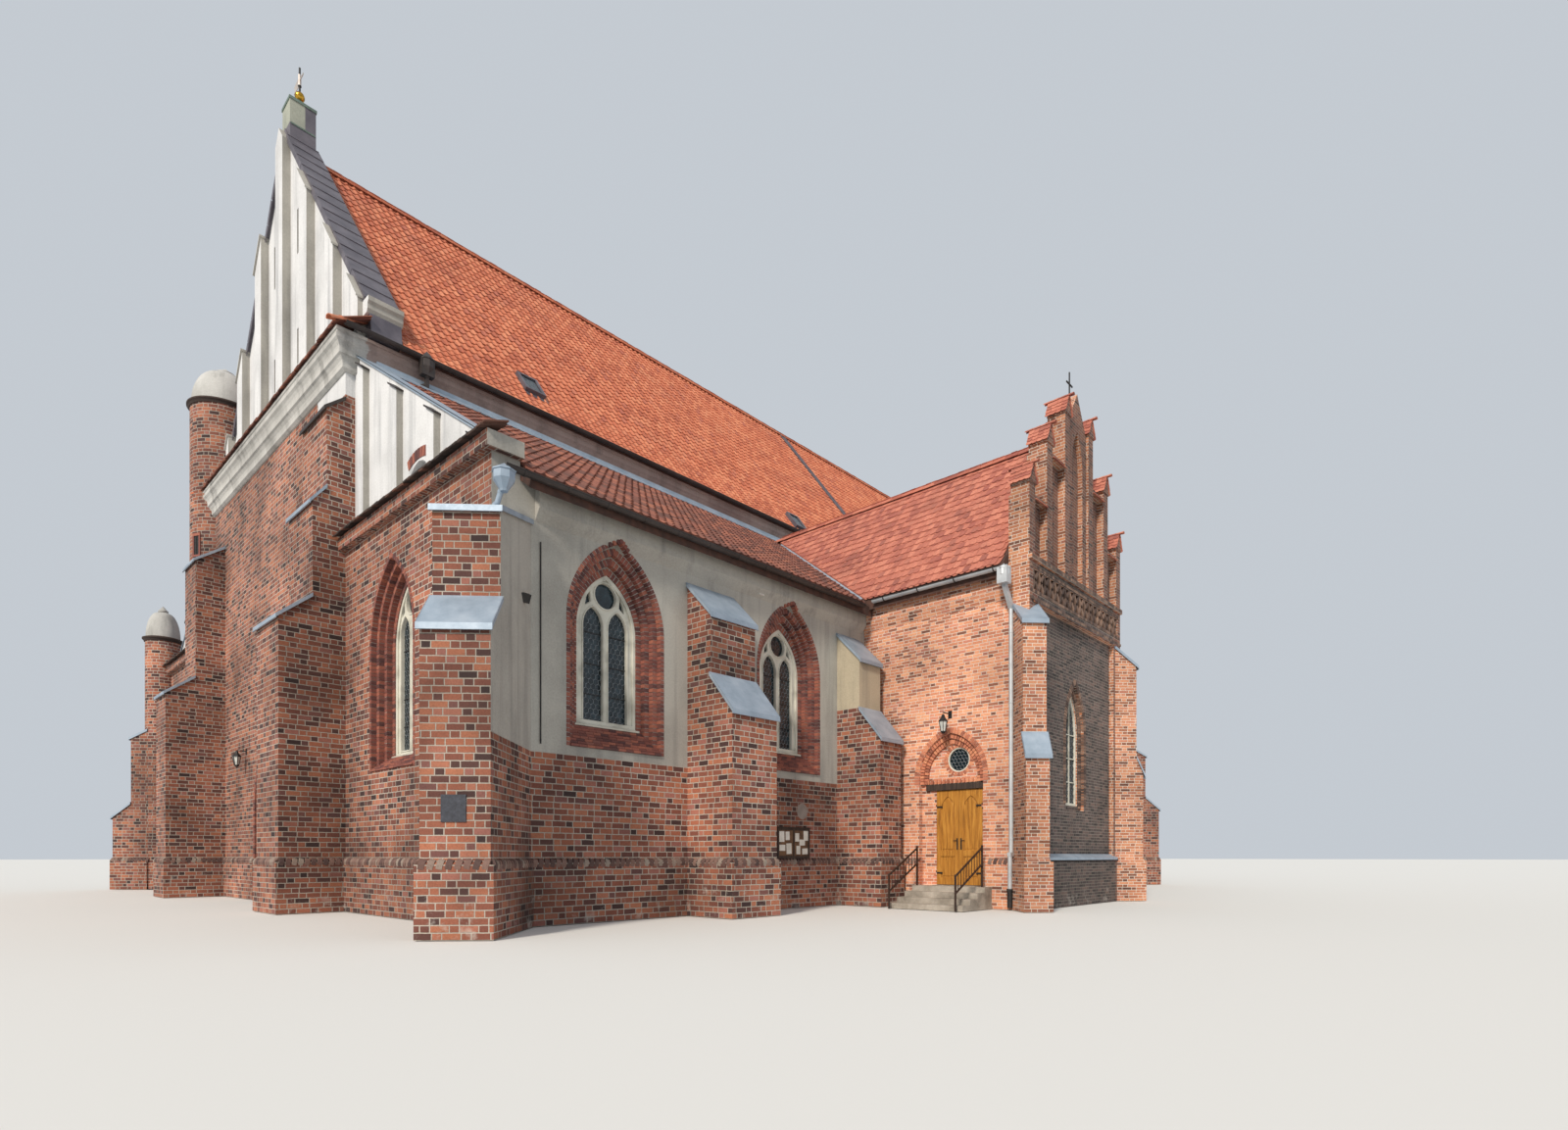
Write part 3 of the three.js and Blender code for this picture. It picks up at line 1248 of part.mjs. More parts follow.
// Hopper, swan neck and pipe at the porch's south-west corner
function porchDownpipe(gutterX, gutterZ) {
  const y = PORCH_SOUTH + 410;
  const radius = 50;
  const wallX = PORCH_WEST - radius - 15;
  const plinthX = PORCH_WEST - PLINTH_OUT - radius - 10;
  const hopperFoot = gutterZ - 420;
  const hopper = box(gutterX - 150, gutterX + CHANNEL - 2, y - 120, y + 120, hopperFoot, gutterZ - 60);
  const neck = box(gutterX - 30, gutterX + 30, y - 40, y + 40, gutterZ - 90, gutterZ - 63);
  const swan = alongY([
    [gutterX - radius, hopperFoot + 10],
    [gutterX - radius, hopperFoot - 60],
    [wallX - radius, hopperFoot - 480],
    [wallX + radius, hopperFoot - 480],
    [wallX + radius, hopperFoot - 400],
    [gutterX + radius, hopperFoot + 10],
  ], y - radius * 0.9, y + radius * 0.9);
  const upper = cylinder(wallX, y, 1300, hopperFoot - 470, radius, 12);
  const jog = box(plinthX - radius, wallX + radius, y - 45, y + 45, 1220, 1310);
  const lower = cylinder(plinthX, y, 60, 1230, radius, 12);
  return [hopper, neck, swan, upper, jog, lower];
}

// Small fittings

function buildFittings() {
  const face = -AISLE_HALF - GAP;
  addPiece("notice_board", box(6930, 8080, face - 70, face, 1170, 1890), "dark_wood");
  const lanternX = PORCH_WEST - 330;
  const arm = box(lanternX - 15, PORCH_WEST - GAP, RECESS_MIDDLE - 15, RECESS_MIDDLE + 15, 4640, 4670);
  const lamp = turned(lanternX, RECESS_MIDDLE, [[0, 4130], [70, 4150], [120, 4480], [20, 4600], [20, 4650],
    [0, 4650]], 8);
  const plate = box(PORCH_WEST - 30, PORCH_WEST - GAP, RECESS_MIDDLE - 50, RECESS_MIDDLE + 50, 4560, 4740);
  addPiece("porch_lantern", joined([arm, lamp, plate]), "iron");
}

buildFloor();
buildNaveWestWall();
buildNaveSideWall("nave_south_wall", -1);
buildNaveSideWall("nave_north_wall", 1);
buildNaveEastWall();
buildCornice();
buildNaveRoof();
buildWestGable();
buildGableCoping();
buildFinial();
buildVane();
buildWestButtresses();
buildTurrets();
buildAisleWestWall("south_aisle_west_wall", -1);
buildAisleWestWindow("south_aisle_west_window", -1);
buildSouthAisleWalls();
buildSouthButtresses();
buildCornerButtresses();
buildAisleEastWall("south_aisle_east_wall", -1);
buildAisleWestWall("north_aisle_west_wall", 1);
buildAisleWestWindow("north_aisle_west_window", 1);
buildNorthAisleWall();
buildAisleEastWall("north_aisle_east_wall", 1);
buildAisleRoofs();
buildPorchWestWall();
buildPorchEastWall();
buildPorchGable();
buildPorchRoof();
buildPorchButtresses();
buildDoors();
buildSteps();
buildHandrails();
buildGutters();
buildFittings();

church.position.set(-NAVE_LENGTH / 2, 0, 0);

export default church;
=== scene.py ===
import math
import random

import bmesh
import bpy
from mathutils import Matrix, Vector
from mathutils.geometry import delaunay_2d_cdt


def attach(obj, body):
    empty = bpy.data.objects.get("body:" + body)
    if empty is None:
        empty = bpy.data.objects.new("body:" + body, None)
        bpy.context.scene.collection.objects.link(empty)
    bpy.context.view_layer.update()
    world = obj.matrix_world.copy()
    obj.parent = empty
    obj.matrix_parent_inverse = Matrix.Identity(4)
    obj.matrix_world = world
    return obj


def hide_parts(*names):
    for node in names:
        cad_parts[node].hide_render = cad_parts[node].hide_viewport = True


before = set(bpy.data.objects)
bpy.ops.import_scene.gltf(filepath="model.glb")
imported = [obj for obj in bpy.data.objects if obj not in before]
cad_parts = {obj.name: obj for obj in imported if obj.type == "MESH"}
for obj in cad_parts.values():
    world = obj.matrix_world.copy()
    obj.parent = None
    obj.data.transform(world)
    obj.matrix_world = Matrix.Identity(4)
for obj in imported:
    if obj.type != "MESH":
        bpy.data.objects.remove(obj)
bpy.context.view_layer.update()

# A brick church: a tall nave between two lean-to aisles, a white west gable, two round
# turrets and a south porch with a stepped gable. Metres, +X east, +Y north, +Z up.
WEST = -15.1             # west face of the nave
NAVE_HALF = 5.7
AISLE_HALF = 12.3

# Walls of the nave and the aisles: hand-moulded red clay brick, fired in a clamp, so every
# brick has its own shade. Stretchers and headers alternate in each course, in lime mortar.
# Some faces were covered later with lime plaster or a grey render.


def srgb(code):
    """Linear colour of an sRGB hex value"""
    parts = [int(code[i:i + 2], 16) / 255 for i in (1, 3, 5)]
    return [c / 12.92 if c <= 0.04045 else ((c + 0.055) / 1.055) ** 2.4 for c in parts] + [1.0]


def add(tree, kind, inputs=(), does=None, out=0, stops=(), **settings):
    """Adds a node with its settings, values and links, and gives back one of its outputs"""
    node = tree.nodes.new(kind if "Node" in kind else "ShaderNode" + kind)
    if does:
        node.operation = does
    for name, value in settings.items():
        setattr(node, name, value)
    for key, value in inputs.items() if isinstance(inputs, dict) else enumerate(inputs):
        if isinstance(value, bpy.types.NodeSocket):
            tree.links.new(value, node.inputs[key])
        else:
            node.inputs[key].default_value = value
    if stops:
        elements = node.color_ramp.elements
        while len(elements) < len(stops):
            elements.new(1.0)
        for element, (place, code) in zip(elements, stops):
            element.position = place
            element.color = srgb(code)
    return node.outputs[out] if node.outputs else None


def new_material(name):
    material = bpy.data.materials.new(name)
    material.use_nodes = True
    material.node_tree.nodes.clear()
    return material, material.node_tree


def finish(tree, look, roughness, depth, **own):
    """Ends a material: the colour and height of its look, and a relief of that depth in metres"""
    relief = add(tree, "Bump", {"Height": look[1], "Distance": depth, "Strength": 0.8})
    surface = add(tree, "BsdfPrincipled", {"Base Color": look[0], "Roughness": roughness, "Normal": relief,
        **own})
    add(tree, "OutputMaterial", {"Surface": surface})


def speckled(tree, colour, grain, low, high):
    """A colour made lighter and darker by a fine noise"""
    light = add(tree, "MapRange", (grain, 0.3, 0.7, low, high))
    return add(tree, "VectorMath", {0: colour, 3: light}, "SCALE")


# What makes a mix node mix colours, and the sizes of the church's old bricks in metres
RGBA = {"out": 2, "data_type": "RGBA"}
BOND_SIZES = {"Course": 0.109, "Stretcher": 0.262, "Header": 0.128, "Joint": 0.016, "Waver": 0.012}

BOND = tree = bpy.data.node_groups.new("brick bond", "ShaderNodeTree")
for name, value in {"Across": 0.0, "Up": 0.0, **BOND_SIZES}.items():
    tree.interface.new_socket(name, socket_type="NodeSocketFloat").default_value = value
for name in ("Face", "Shade"):
    tree.interface.new_socket(name, in_out="OUTPUT", socket_type="NodeSocketFloat")

# Bricks laid level: how far a point is in a brick's face, and the brick's own shade
given = add(tree, "NodeGroupInput").node.outputs
place = add(tree, "TexCoord", out="Object")
waver = add(tree, "TexNoise", {"Vector": place, "Scale": 7.0, "Detail": 2.0}, out="Color")
waver = add(tree, "VectorMath", (waver, (-0.5, -0.5, -0.5)))
waver = add(tree, "VectorMath", {0: waver, 3: given["Waver"]}, "SCALE")
waver = add(tree, "SeparateXYZ", (waver,)).node.outputs
u = add(tree, "Math", (given["Across"], waver["X"]))
v = add(tree, "Math", (given["Up"], waver["Y"]))
rise = add(tree, "Math", (v, given["Course"]), "DIVIDE")
row = add(tree, "Math", (rise,), "FLOOR")
inside = add(tree, "Math", (rise,), "FRACT")
half = add(tree, "Math", (row, 0.5), "MULTIPLY")
luck = add(tree, "TexWhiteNoise", {"W": row}, noise_dimensions="1D")
shift = add(tree, "Math", (luck, 0.22, half), "MULTIPLY_ADD")
bricks = add(tree, "Math", (given["Stretcher"], given["Header"]))
period = add(tree, "Math", (given["Joint"], 2.0, bricks), "MULTIPLY_ADD")
run = add(tree, "Math", (u, period), "DIVIDE")
run = add(tree, "Math", (run, shift))
pair = add(tree, "Math", (run,), "FLOOR")
along = add(tree, "Math", (run,), "FRACT")
along = add(tree, "Math", (along, period), "MULTIPLY")
first = add(tree, "Math", (given["Stretcher"], given["Joint"]))
header = add(tree, "Math", (along, first), "GREATER_THAN")
past_first = add(tree, "Math", (header, first), "MULTIPLY")
local = add(tree, "Math", (along, past_first), "SUBTRACT")
shorter = add(tree, "Math", (given["Stretcher"], given["Header"]), "SUBTRACT")
shorter = add(tree, "Math", (header, shorter), "MULTIPLY")
length = add(tree, "Math", (first, shorter), "SUBTRACT")
other = add(tree, "Math", (length, local), "SUBTRACT")
edge_u = add(tree, "Math", (local, other), "MINIMUM")
above = add(tree, "Math", (1.0, inside), "SUBTRACT")
edge_v = add(tree, "Math", (inside, above), "MINIMUM")
edge_v = add(tree, "Math", (edge_v, given["Course"]), "MULTIPLY")
edge = add(tree, "Math", (edge_u, edge_v), "MINIMUM")
low = add(tree, "Math", (given["Joint"], 0.38), "MULTIPLY")
high = add(tree, "Math", (given["Joint"], 0.72), "MULTIPLY")
face = add(tree, "MapRange", (edge, low, high), interpolation_type="SMOOTHSTEP")
which = add(tree, "Math", (pair, 2.0, header), "MULTIPLY_ADD")
cell = add(tree, "CombineXYZ", {"X": which, "Y": row})
shade = add(tree, "TexWhiteNoise", {"Vector": cell}, noise_dimensions="3D")
add(tree, "NodeGroupOutput", {"Face": face, "Shade": shade})


def on_face(tree):
    """How far a point lies across and up the flat face that it is on, in metres"""
    place = add(tree, "TexCoord", out="Object")
    facing = add(tree, "NewGeometry", out="True Normal")
    lean = add(tree, "VectorMath", (facing, (0, -0.001, 0)))
    side = add(tree, "VectorMath", ((0, 0, 1), lean), "CROSS_PRODUCT")
    side = add(tree, "VectorMath", (side,), "NORMALIZE")
    up = add(tree, "VectorMath", (facing, side), "CROSS_PRODUCT")
    u = add(tree, "VectorMath", (place, side), "DOT_PRODUCT", out=1)
    v = add(tree, "VectorMath", (place, up), "DOT_PRODUCT", out=1)
    return u, v


def round_tower(tree, x, y, radius):
    """How far a point lies around and up a round body that stands at (x, y)"""
    place = add(tree, "TexCoord", out="Object")
    place = add(tree, "VectorMath", (place, (-x, -y, 0)))
    place = add(tree, "SeparateXYZ", (place,)).node.outputs
    angle = add(tree, "Math", (place["Y"], place["X"]), "ARCTAN2")
    return add(tree, "Math", (angle, radius), "MULTIPLY"), place["Z"]


def brick_look(tree, tones, mortar, where=None, soot=0.5, **sizes):
    """Colour and height of weathered brickwork: soot and bloom in broad patches, sandy grain"""
    node = tree.nodes.new("ShaderNodeGroup")
    node.node_tree = BOND
    across, up = where or on_face(tree)
    tree.links.new(across, node.inputs["Across"])
    tree.links.new(up, node.inputs["Up"])
    for key, value in sizes.items():
        node.inputs[key].default_value = value
    face, shade = node.outputs
    tone = add(tree, "ValToRGB", (shade,), stops=tones)
    place = add(tree, "TexCoord", out="Object")
    patch = add(tree, "TexNoise", {"Vector": place, "Scale": 0.45, "Detail": 5.0})
    patch = add(tree, "MapRange", (patch, 0.32, 0.68, soot, 1.2))
    grain = add(tree, "TexNoise", {"Vector": place, "Scale": 38.0, "Detail": 3.0})
    mottle = add(tree, "MapRange", (grain, 0.3, 0.7, 0.84, 1.1))
    light = add(tree, "Math", (patch, mottle), "MULTIPLY")
    tone = add(tree, "VectorMath", {0: tone, 3: light}, "SCALE")
    joint = add(tree, "VectorMath", {0: srgb(mortar)[:3], 3: light}, "SCALE")
    colour = add(tree, "Mix", {0: face, 6: joint, 7: tone}, **RGBA)
    salt = add(tree, "TexNoise", {"Vector": place, "Scale": 2.6, "Detail": 6.0, "Roughness": 0.7})
    height = add(tree, "SeparateXYZ", (place,), out="Z")
    low = add(tree, "MapRange", (height, 0.1, 1.7, 0.55, 0.72))
    salt = add(tree, "Math", (salt, low), "SUBTRACT")
    salt = add(tree, "Math", (salt, 4.0), "MULTIPLY", use_clamp=True)
    salt = add(tree, "Math", (salt, 0.45), "MINIMUM")
    colour = add(tree, "Mix", {0: salt, 6: colour, 7: srgb("#b9b1a8")}, **RGBA)
    height = add(tree, "Math", (grain, 0.35, face), "MULTIPLY_ADD")
    return colour, height


def plaster_look(tree, base, patch, streak):
    """Colour and height of old lime plaster: broad patches, rain streaks and a sandy float"""
    place = add(tree, "TexCoord", out="Object")
    broad = add(tree, "TexNoise", {"Vector": place, "Scale": 0.6, "Detail": 6.0, "Roughness": 0.6})
    broad = add(tree, "MapRange", (broad, 0.42, 0.66))
    colour = add(tree, "Mix", {0: broad, 6: srgb(base), 7: srgb(patch)}, **RGBA)
    drawn = add(tree, "VectorMath", (place, (3.4, 3.4, 0.22)), "MULTIPLY")
    rain = add(tree, "TexNoise", {"Vector": drawn, "Scale": 1.0, "Detail": 5.0, "Roughness": 0.6})
    rain = add(tree, "MapRange", (rain, 0.5, 0.74, 0.0, 0.75))
    colour = add(tree, "Mix", {0: rain, 6: colour, 7: srgb(streak)}, **RGBA)
    sand = add(tree, "TexNoise", {"Vector": place, "Scale": 30.0, "Detail": 4.0})
    return speckled(tree, colour, sand, 0.9, 1.06), add(tree, "Math", (sand, 0.6), "MULTIPLY")


def past(tree, direction, level, waver=0.04):
    """1 where a point lies past a level in a direction, along a slightly uneven line"""
    place = add(tree, "TexCoord", out="Object")
    far = add(tree, "VectorMath", (place, direction), "DOT_PRODUCT", out=1)
    rough = add(tree, "TexNoise", {"Vector": place, "Scale": 3.0, "Detail": 4.0})
    far = add(tree, "Math", (rough, waver, far), "MULTIPLY_ADD")
    middle = level + waver / 2
    return add(tree, "MapRange", (far, middle - 0.01, middle + 0.01))


def facing(tree, direction):
    """1 on the faces that look in a direction"""
    normal = add(tree, "NewGeometry", out="True Normal")
    toward = add(tree, "VectorMath", (normal, direction), "DOT_PRODUCT", out=1)
    return add(tree, "Math", (toward, 0.7), "GREATER_THAN")


def covered(tree, mask, low, high):
    """Colour and height of one finish laid over another where the mask is 1"""
    colour = add(tree, "Mix", {0: mask, 6: low[0], 7: high[0]}, **RGBA)
    return colour, add(tree, "Mix", {0: mask, 2: low[1], 3: high[1]})


OLD_TONES = [(0.0, "#382827"), (0.1, "#573934"), (0.24, "#744539"), (0.45, "#8b5442"), (0.65, "#9d6049"),
    (0.82, "#ac6e52"), (0.93, "#9d665a"), (1.0, "#5f3f3c")]
LIME_MORTAR = "#b0a79b"
GREY_RENDER = ("#aba8a0", "#96938c", "#7e7d79")
WHITE_PLASTER = ("#d3d4d5", "#bfc0c1", "#929497")


def wall_material(name, cover=None, masks=(), soot=0.5):
    """Old brick, with a plaster over it where every one of the masks holds"""
    material, tree = new_material(name)
    look = brick_look(tree, OLD_TONES, LIME_MORTAR, soot=soot)
    if cover:
        mask = None
        for make, *values in masks:
            part = make(tree, *values)
            mask = add(tree, "Math", (mask, part), "MULTIPLY") if mask else part
        look = covered(tree, mask, look, plaster_look(tree, *cover))
    finish(tree, look, 0.9, 0.007)
    return material


def dress(material, *nodes):
    """Gives CAD nodes their material"""
    for node in nodes:
        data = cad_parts[node].data
        data.materials.clear()
        data.materials.append(material)


OLD_BRICK = wall_material("clamp-fired red brick in lime mortar")
UP = (0, 0, 1)
dress(OLD_BRICK, "nave_south_wall", "nave_north_wall", "nave_east_wall", "nave_west_buttress_south",
    "nave_west_buttress_north", "north_aisle_wall", "south_aisle_east_wall", "north_aisle_east_wall",
    "corner_buttress_north_west", "south_buttress_1")
dress(wall_material("old brick under grey lime render", GREY_RENDER, [(past, UP, 3.05, 0.03)]),
    "south_aisle_wall", "south_aisle_wall_east")
dress(wall_material("old brick with a rendered upper stage", ("#b0a58f", "#a09782", "#8a8375"),
    [(past, UP, 4.9, 0.02)]), "south_buttress_2")
dress(wall_material("old brick with one rendered side", GREY_RENDER, [(past, UP, 3.05, 0.06),
    (facing, (0.707, -0.707, 0))], 0.3), "corner_buttress_south_west")
dress(wall_material("old brick, white plaster by the corner", WHITE_PLASTER,
    [(past, UP, 11.5, 0.06), (past, (0, -1, 0), 3.9, 0.35)]), "nave_west_wall")
dress(wall_material("old brick under a plastered half gable", WHITE_PLASTER, [(past, UP, 8.27, 0.0)]),
    "north_aisle_west_wall")

# The south aisle's west wall: rendered on the side that looks south, its half gable white
# The grey also covers the south sides of the half gable's strips, partly unwashed plaster and partly painted shade
material, tree = new_material("old brick, half gable white and south side rendered")
look = covered(tree, past(tree, UP, 8.27, 0.0), brick_look(tree, OLD_TONES, LIME_MORTAR),
    plaster_look(tree, *WHITE_PLASTER))
high = past(tree, UP, 3.05, 0.03)
side = add(tree, "Math", (high, facing(tree, (0, -1, 0))), "MULTIPLY")
look = covered(tree, side, look, plaster_look(tree, *GREY_RENDER))
finish(tree, look, 0.9, 0.007)
dress(material, "south_aisle_west_wall")

# Plinth course: worn bricks set on edge in lime mortar, leaning out, their upper arris
# rounded. It ends the thicker foot of the walls all round the church, buttresses included.


def linked(name, mesh, material=None):
    """An object at the origin that shows a mesh"""
    piece = bpy.data.objects.new(name, mesh)
    bpy.context.scene.collection.objects.link(piece)
    if material:
        mesh.materials.clear()
        mesh.materials.append(material)
    return piece


def polar(radius, angle, u=0.0, v=0.0):
    """A point that far from (u, v) in a direction"""
    return u + radius * math.cos(angle), v + radius * math.sin(angle)


def rect(low_u, low_v, high_u, high_v):
    """The outline of a rectangle between two corners"""
    return [(low_u, low_v), (high_u, low_v), (high_u, high_v), (low_u, high_v)]


def at(x, y, z):
    return Matrix.Translation((x, y, z))


def sized(x, y, z):
    return Matrix.Diagonal((x, y, z, 1))


def spun(degrees, axis):
    return Matrix.Rotation(math.radians(degrees), 4, axis)


def skin(bm, rings, flip=False):
    """A closed body through rings of points; its first ring's face looks back, or on if flipped"""
    rings = [[bm.verts.new(point) for point in ring] for ring in rings]
    way = -1 if flip else 1
    bm.faces.new(rings[0][::-way])
    bm.faces.new(rings[-1][::way])
    for a, b in zip(rings, rings[1:]):
        for i in range(len(a)):
            j = (i + 1) % len(a)
            bm.faces.new((a[i], b[i], b[j], a[j]) if flip else (a[i], a[j], b[j], b[i]))


def prism(bm, outline, place, low, high):
    """A closed body: an outline in the place's XY plane, drawn from low to high along its Z"""
    skin(bm, [[place @ Vector((u, v, w)) for u, v in outline] for w in (low, high)])


def block(bm, low, high, place=Matrix()):
    """A closed box between two corners"""
    prism(bm, rect(*low[:2], *high[:2]), place, low[2], high[2])


def mesh_of(name, bm, bevel=0.0):
    """The mesh of a finished bmesh, its faces turned outwards and its edges eased if asked"""
    if bevel:
        edges = [edge for edge in bm.edges if edge.calc_face_angle(0) > 0.5]
        bmesh.ops.bevel(bm, geom=edges, offset=bevel, segments=1, affect="EDGES")
    bmesh.ops.recalc_face_normals(bm, faces=bm.faces)
    mesh = bpy.data.meshes.new(name)
    bm.to_mesh(mesh)
    bm.free()
    return mesh


def kept(piece, body="church", replaces=()):
    """Says which body a finished piece rides on, and hides the CAD nodes it stands for"""
    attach(piece, body)
    if replaces:
        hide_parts(*replaces)
    return piece


def shown(name, bm, material, body="church", replaces=(), ease=0.0):
    """A finished bmesh as a piece of the church, with its edges eased if asked"""
    return kept(linked(name, mesh_of(name, bm, ease), material), body, replaces)


def piece_tree(name, sockets):
    """A geometry tree with its named inputs, and its group input's sockets"""
    tree = bpy.data.node_groups.new(name, "GeometryNodeTree")
    tree.interface.new_socket("Geometry", in_out="OUTPUT", socket_type="NodeSocketGeometry")
    for label, kind in sockets:
        tree.interface.new_socket(label, in_out="INPUT", socket_type="NodeSocket" + kind)
    return tree, add(tree, "NodeGroupInput").node.outputs


def end_tree(tree, given, points, turn, size):
    """Sets a piece on every point, slightly askew, and joins them all in one mesh"""
    piece = add(tree, "GeometryNodeObjectInfo", {"Object": given["Piece"]}, out="Geometry")
    askew = add(tree, "FunctionNodeRandomValue", {0: (-1, -1, -1), 1: (1, 1, 1), "Seed": 11},
        data_type="FLOAT_VECTOR")
    askew = add(tree, "VectorMath", {0: askew, 3: given["Tilt"]}, "SCALE")
    askew = add(tree, "FunctionNodeEulerToRotation", (askew,))
    turn = add(tree, "FunctionNodeRotateRotation", (turn, askew), rotation_space="LOCAL")
    laid = add(tree, "GeometryNodeInstanceOnPoints", {"Points": points, "Instance": piece, "Rotation": turn,
        "Scale": size})
    laid = add(tree, "GeometryNodeRealizeInstances", (laid,))
    laid = add(tree, "GeometryNodeSetMaterial", {"Geometry": laid, "Material": given["Material"]})
    add(tree, "NodeGroupOutput", (laid,))


# Pieces set along a path at a spacing, each with its X along the path and its Y level
ROW, given = piece_tree("row along a path", [("Geometry", "Geometry"), ("Piece", "Object"),
    ("Material", "Material"), ("Spacing", "Float"), ("Tilt", "Float")])
path = add(ROW, "GeometryNodeMeshToCurve", (given["Geometry"],))
path = add(ROW, "GeometryNodeResampleCurve", {"Curve": path, "Length": given["Spacing"]}, mode="LENGTH")
ahead = add(ROW, "GeometryNodeInputTangent")
turn = add(ROW, "FunctionNodeAlignRotationToVector", {"Vector": ahead}, axis="X", pivot_axis="Z")
turn = add(ROW, "FunctionNodeAlignRotationToVector", {"Rotation": turn, "Vector": ahead}, axis="X",
    pivot_axis="Y")
end_tree(ROW, given, path, turn, (1, 1, 1))
# Pieces laid on points, each turned and sized by its point's own values
LAID, given = piece_tree("pieces on points", [("Geometry", "Geometry"), ("Piece", "Object"),
    ("Material", "Material"), ("Tilt", "Float")])
turn = add(LAID, "GeometryNodeInputNamedAttribute", {"Name": "turn"}, data_type="FLOAT_VECTOR")
turn = add(LAID, "FunctionNodeEulerToRotation", (turn,))
size = add(LAID, "GeometryNodeInputNamedAttribute", {"Name": "size"}, data_type="FLOAT_VECTOR")
end_tree(LAID, given, given["Geometry"], turn, size)


def run_tree(piece, tree, **values):
    """Runs a geometry tree on a piece with its inputs set, and keeps the plain result"""
    modifier = piece.modifiers.new(tree.name, "NODES")
    modifier.node_group = tree
    for item in tree.interface.items_tree:
        if item.in_out == "INPUT" and item.name in values:
            modifier[item.identifier] = values[item.name]
    graph = bpy.context.evaluated_depsgraph_get()
    piece.data = bpy.data.meshes.new_from_object(piece.evaluated_get(graph), depsgraph=graph)
    piece.modifiers.clear()
    bpy.data.objects.remove(values["Piece"])
    return piece


def row_of(name, lines, unit, material, spacing, tilt=0.0):
    """A row of one piece along each line, a list of points"""
    mesh = bpy.data.meshes.new(name)
    points = [point for line in lines for point in line]
    edges, start = [], 0
    for line in lines:
        edges += [(start + i, start + i + 1) for i in range(len(line) - 1)]
        start += len(line)
    mesh.from_pydata(points, edges, [])
    return run_tree(linked(name, mesh), ROW, Piece=linked("unit", unit), Material=material, Spacing=spacing,
        Tilt=tilt)


def laid(name, places, unit, material, tilt=0.0):
    """One piece laid at each place, a matrix with its turn and size"""
    mesh = bpy.data.meshes.new(name)
    mesh.from_pydata([place.translation for place in places], [], [])
    turn = mesh.attributes.new("turn", "FLOAT_VECTOR", "POINT").data
    size = mesh.attributes.new("size", "FLOAT_VECTOR", "POINT").data
    for index, place in enumerate(places):
        _, spin, scale = place.decompose()
        turn[index].vector = spin.to_euler()
        size[index].vector = scale
    return run_tree(linked(name, mesh), LAID, Piece=linked("unit", unit), Material=material, Tilt=tilt)


def loose_brick(name, tones, roughness=0.9, relief=0.003):
    """Single bricks: each its own shade, with a sandy grain"""
    material, tree = new_material(name)
    own = add(tree, "NewGeometry", out="Random Per Island")
    tone = add(tree, "ValToRGB", (own,), stops=tones)
    place = add(tree, "TexCoord", out="Object")
    grain = add(tree, "TexNoise", {"Vector": place, "Scale": 45.0, "Detail": 4.0})
    finish(tree, (speckled(tree, tone, grain, 0.8, 1.14), grain), roughness, relief)
    return material


PLINTH_TOP = 1.1
EDGE_BRICK = loose_brick("worn bricks on edge", [(0.0, "#4a3a37"), (0.35, "#6a5049"), (0.7, "#7c6258"),
    (1.0, "#91867b")])
EDGE_LINES = [
    [(-0.4, 5.7), (-1.47, 5.7), (-1.47, 4.38), (0, 4.38), (0, 1.27)],
    [(0, -1.27), (0, -4.135), (-1.31, -4.135), (-1.31, -5.7), (0, -5.7), (0, -11.579), (-1.527, -13.106),
     (-0.806, -13.827), (0.721, -12.3), (4.28, -12.3), (4.28, -13.63), (5.56, -13.63), (5.56, -12.3),
     (9.25, -12.3), (9.25, -13.63), (10.13, -13.63), (10.13, -12.3), (10.4, -12.3), (10.4, -14.0)],
    [(10.4, -15.9), (10.4, -16.515)],
    [(16.1, -16.515), (16.1, -12.3), (20.5, -12.3), (20.5, -13.63), (21.5, -13.63), (21.5, -12.3), (28.479, -12.3),
     (29.9, -13.721), (30.621, -13.0), (29.2, -11.579), (29.2, -5.9)],
    [(29.2, 5.9), (29.2, 11.579), (30.621, 13.0), (29.9, 13.721), (28.479, 12.3)],
    [(0.3, 13.03), (-0.806, 13.827), (-1.527, 13.106), (-0.6, 12.18)],
    [(0, 11.6), (0, 7.2)],
]
NORTH_BUTTRESSES = (26.11, 20.85, 15.59, 10.33, 5.07)
line = [(28.479, 12.3)]
for x in NORTH_BUTTRESSES:
    line += [(x + 0.5, 12.3), (x + 0.5, 13.63), (x - 0.5, 13.63), (x - 0.5, 12.3)]
EDGE_LINES.append(line + [(0.75, 12.3)])

# Half a brick deep and leaning, one every 115 mm, on the plinth's slope
bm = bmesh.new()
rounded = [(-0.03, -0.075), (0.062, -0.075), (0.07, 0.0), (0.05, 0.055), (0.012, 0.078), (-0.03, 0.08)]
prism(bm, rounded, spun(14, "Y") @ Matrix(((0, 0, 1, 0), (-1, 0, 0, 0), (0, 1, 0, 0), (0, 0, 0, 1))), -0.045,
    0.045)
lines = []
for line in EDGE_LINES:
    for a, b in zip(line, line[1:]):
        a, b = Vector((a[0] + WEST, a[1], PLINTH_TOP)), Vector((b[0] + WEST, b[1], PLINTH_TOP))
        inset = (b - a).normalized() * 0.05
        lines.append([a + inset, b - inset])
kept(row_of("plinth_course", lines, mesh_of("edge brick", bm, 0.006), EDGE_BRICK, 0.115, 0.05))

# Windows of the aisles: three stepped orders of brick round each pointed opening, a steep
# sill of plain tiles, and a white painted oak frame with two lights under a round one. The
# glass is old greenish cylinder glass in hexagonal leading, tied to iron bars.

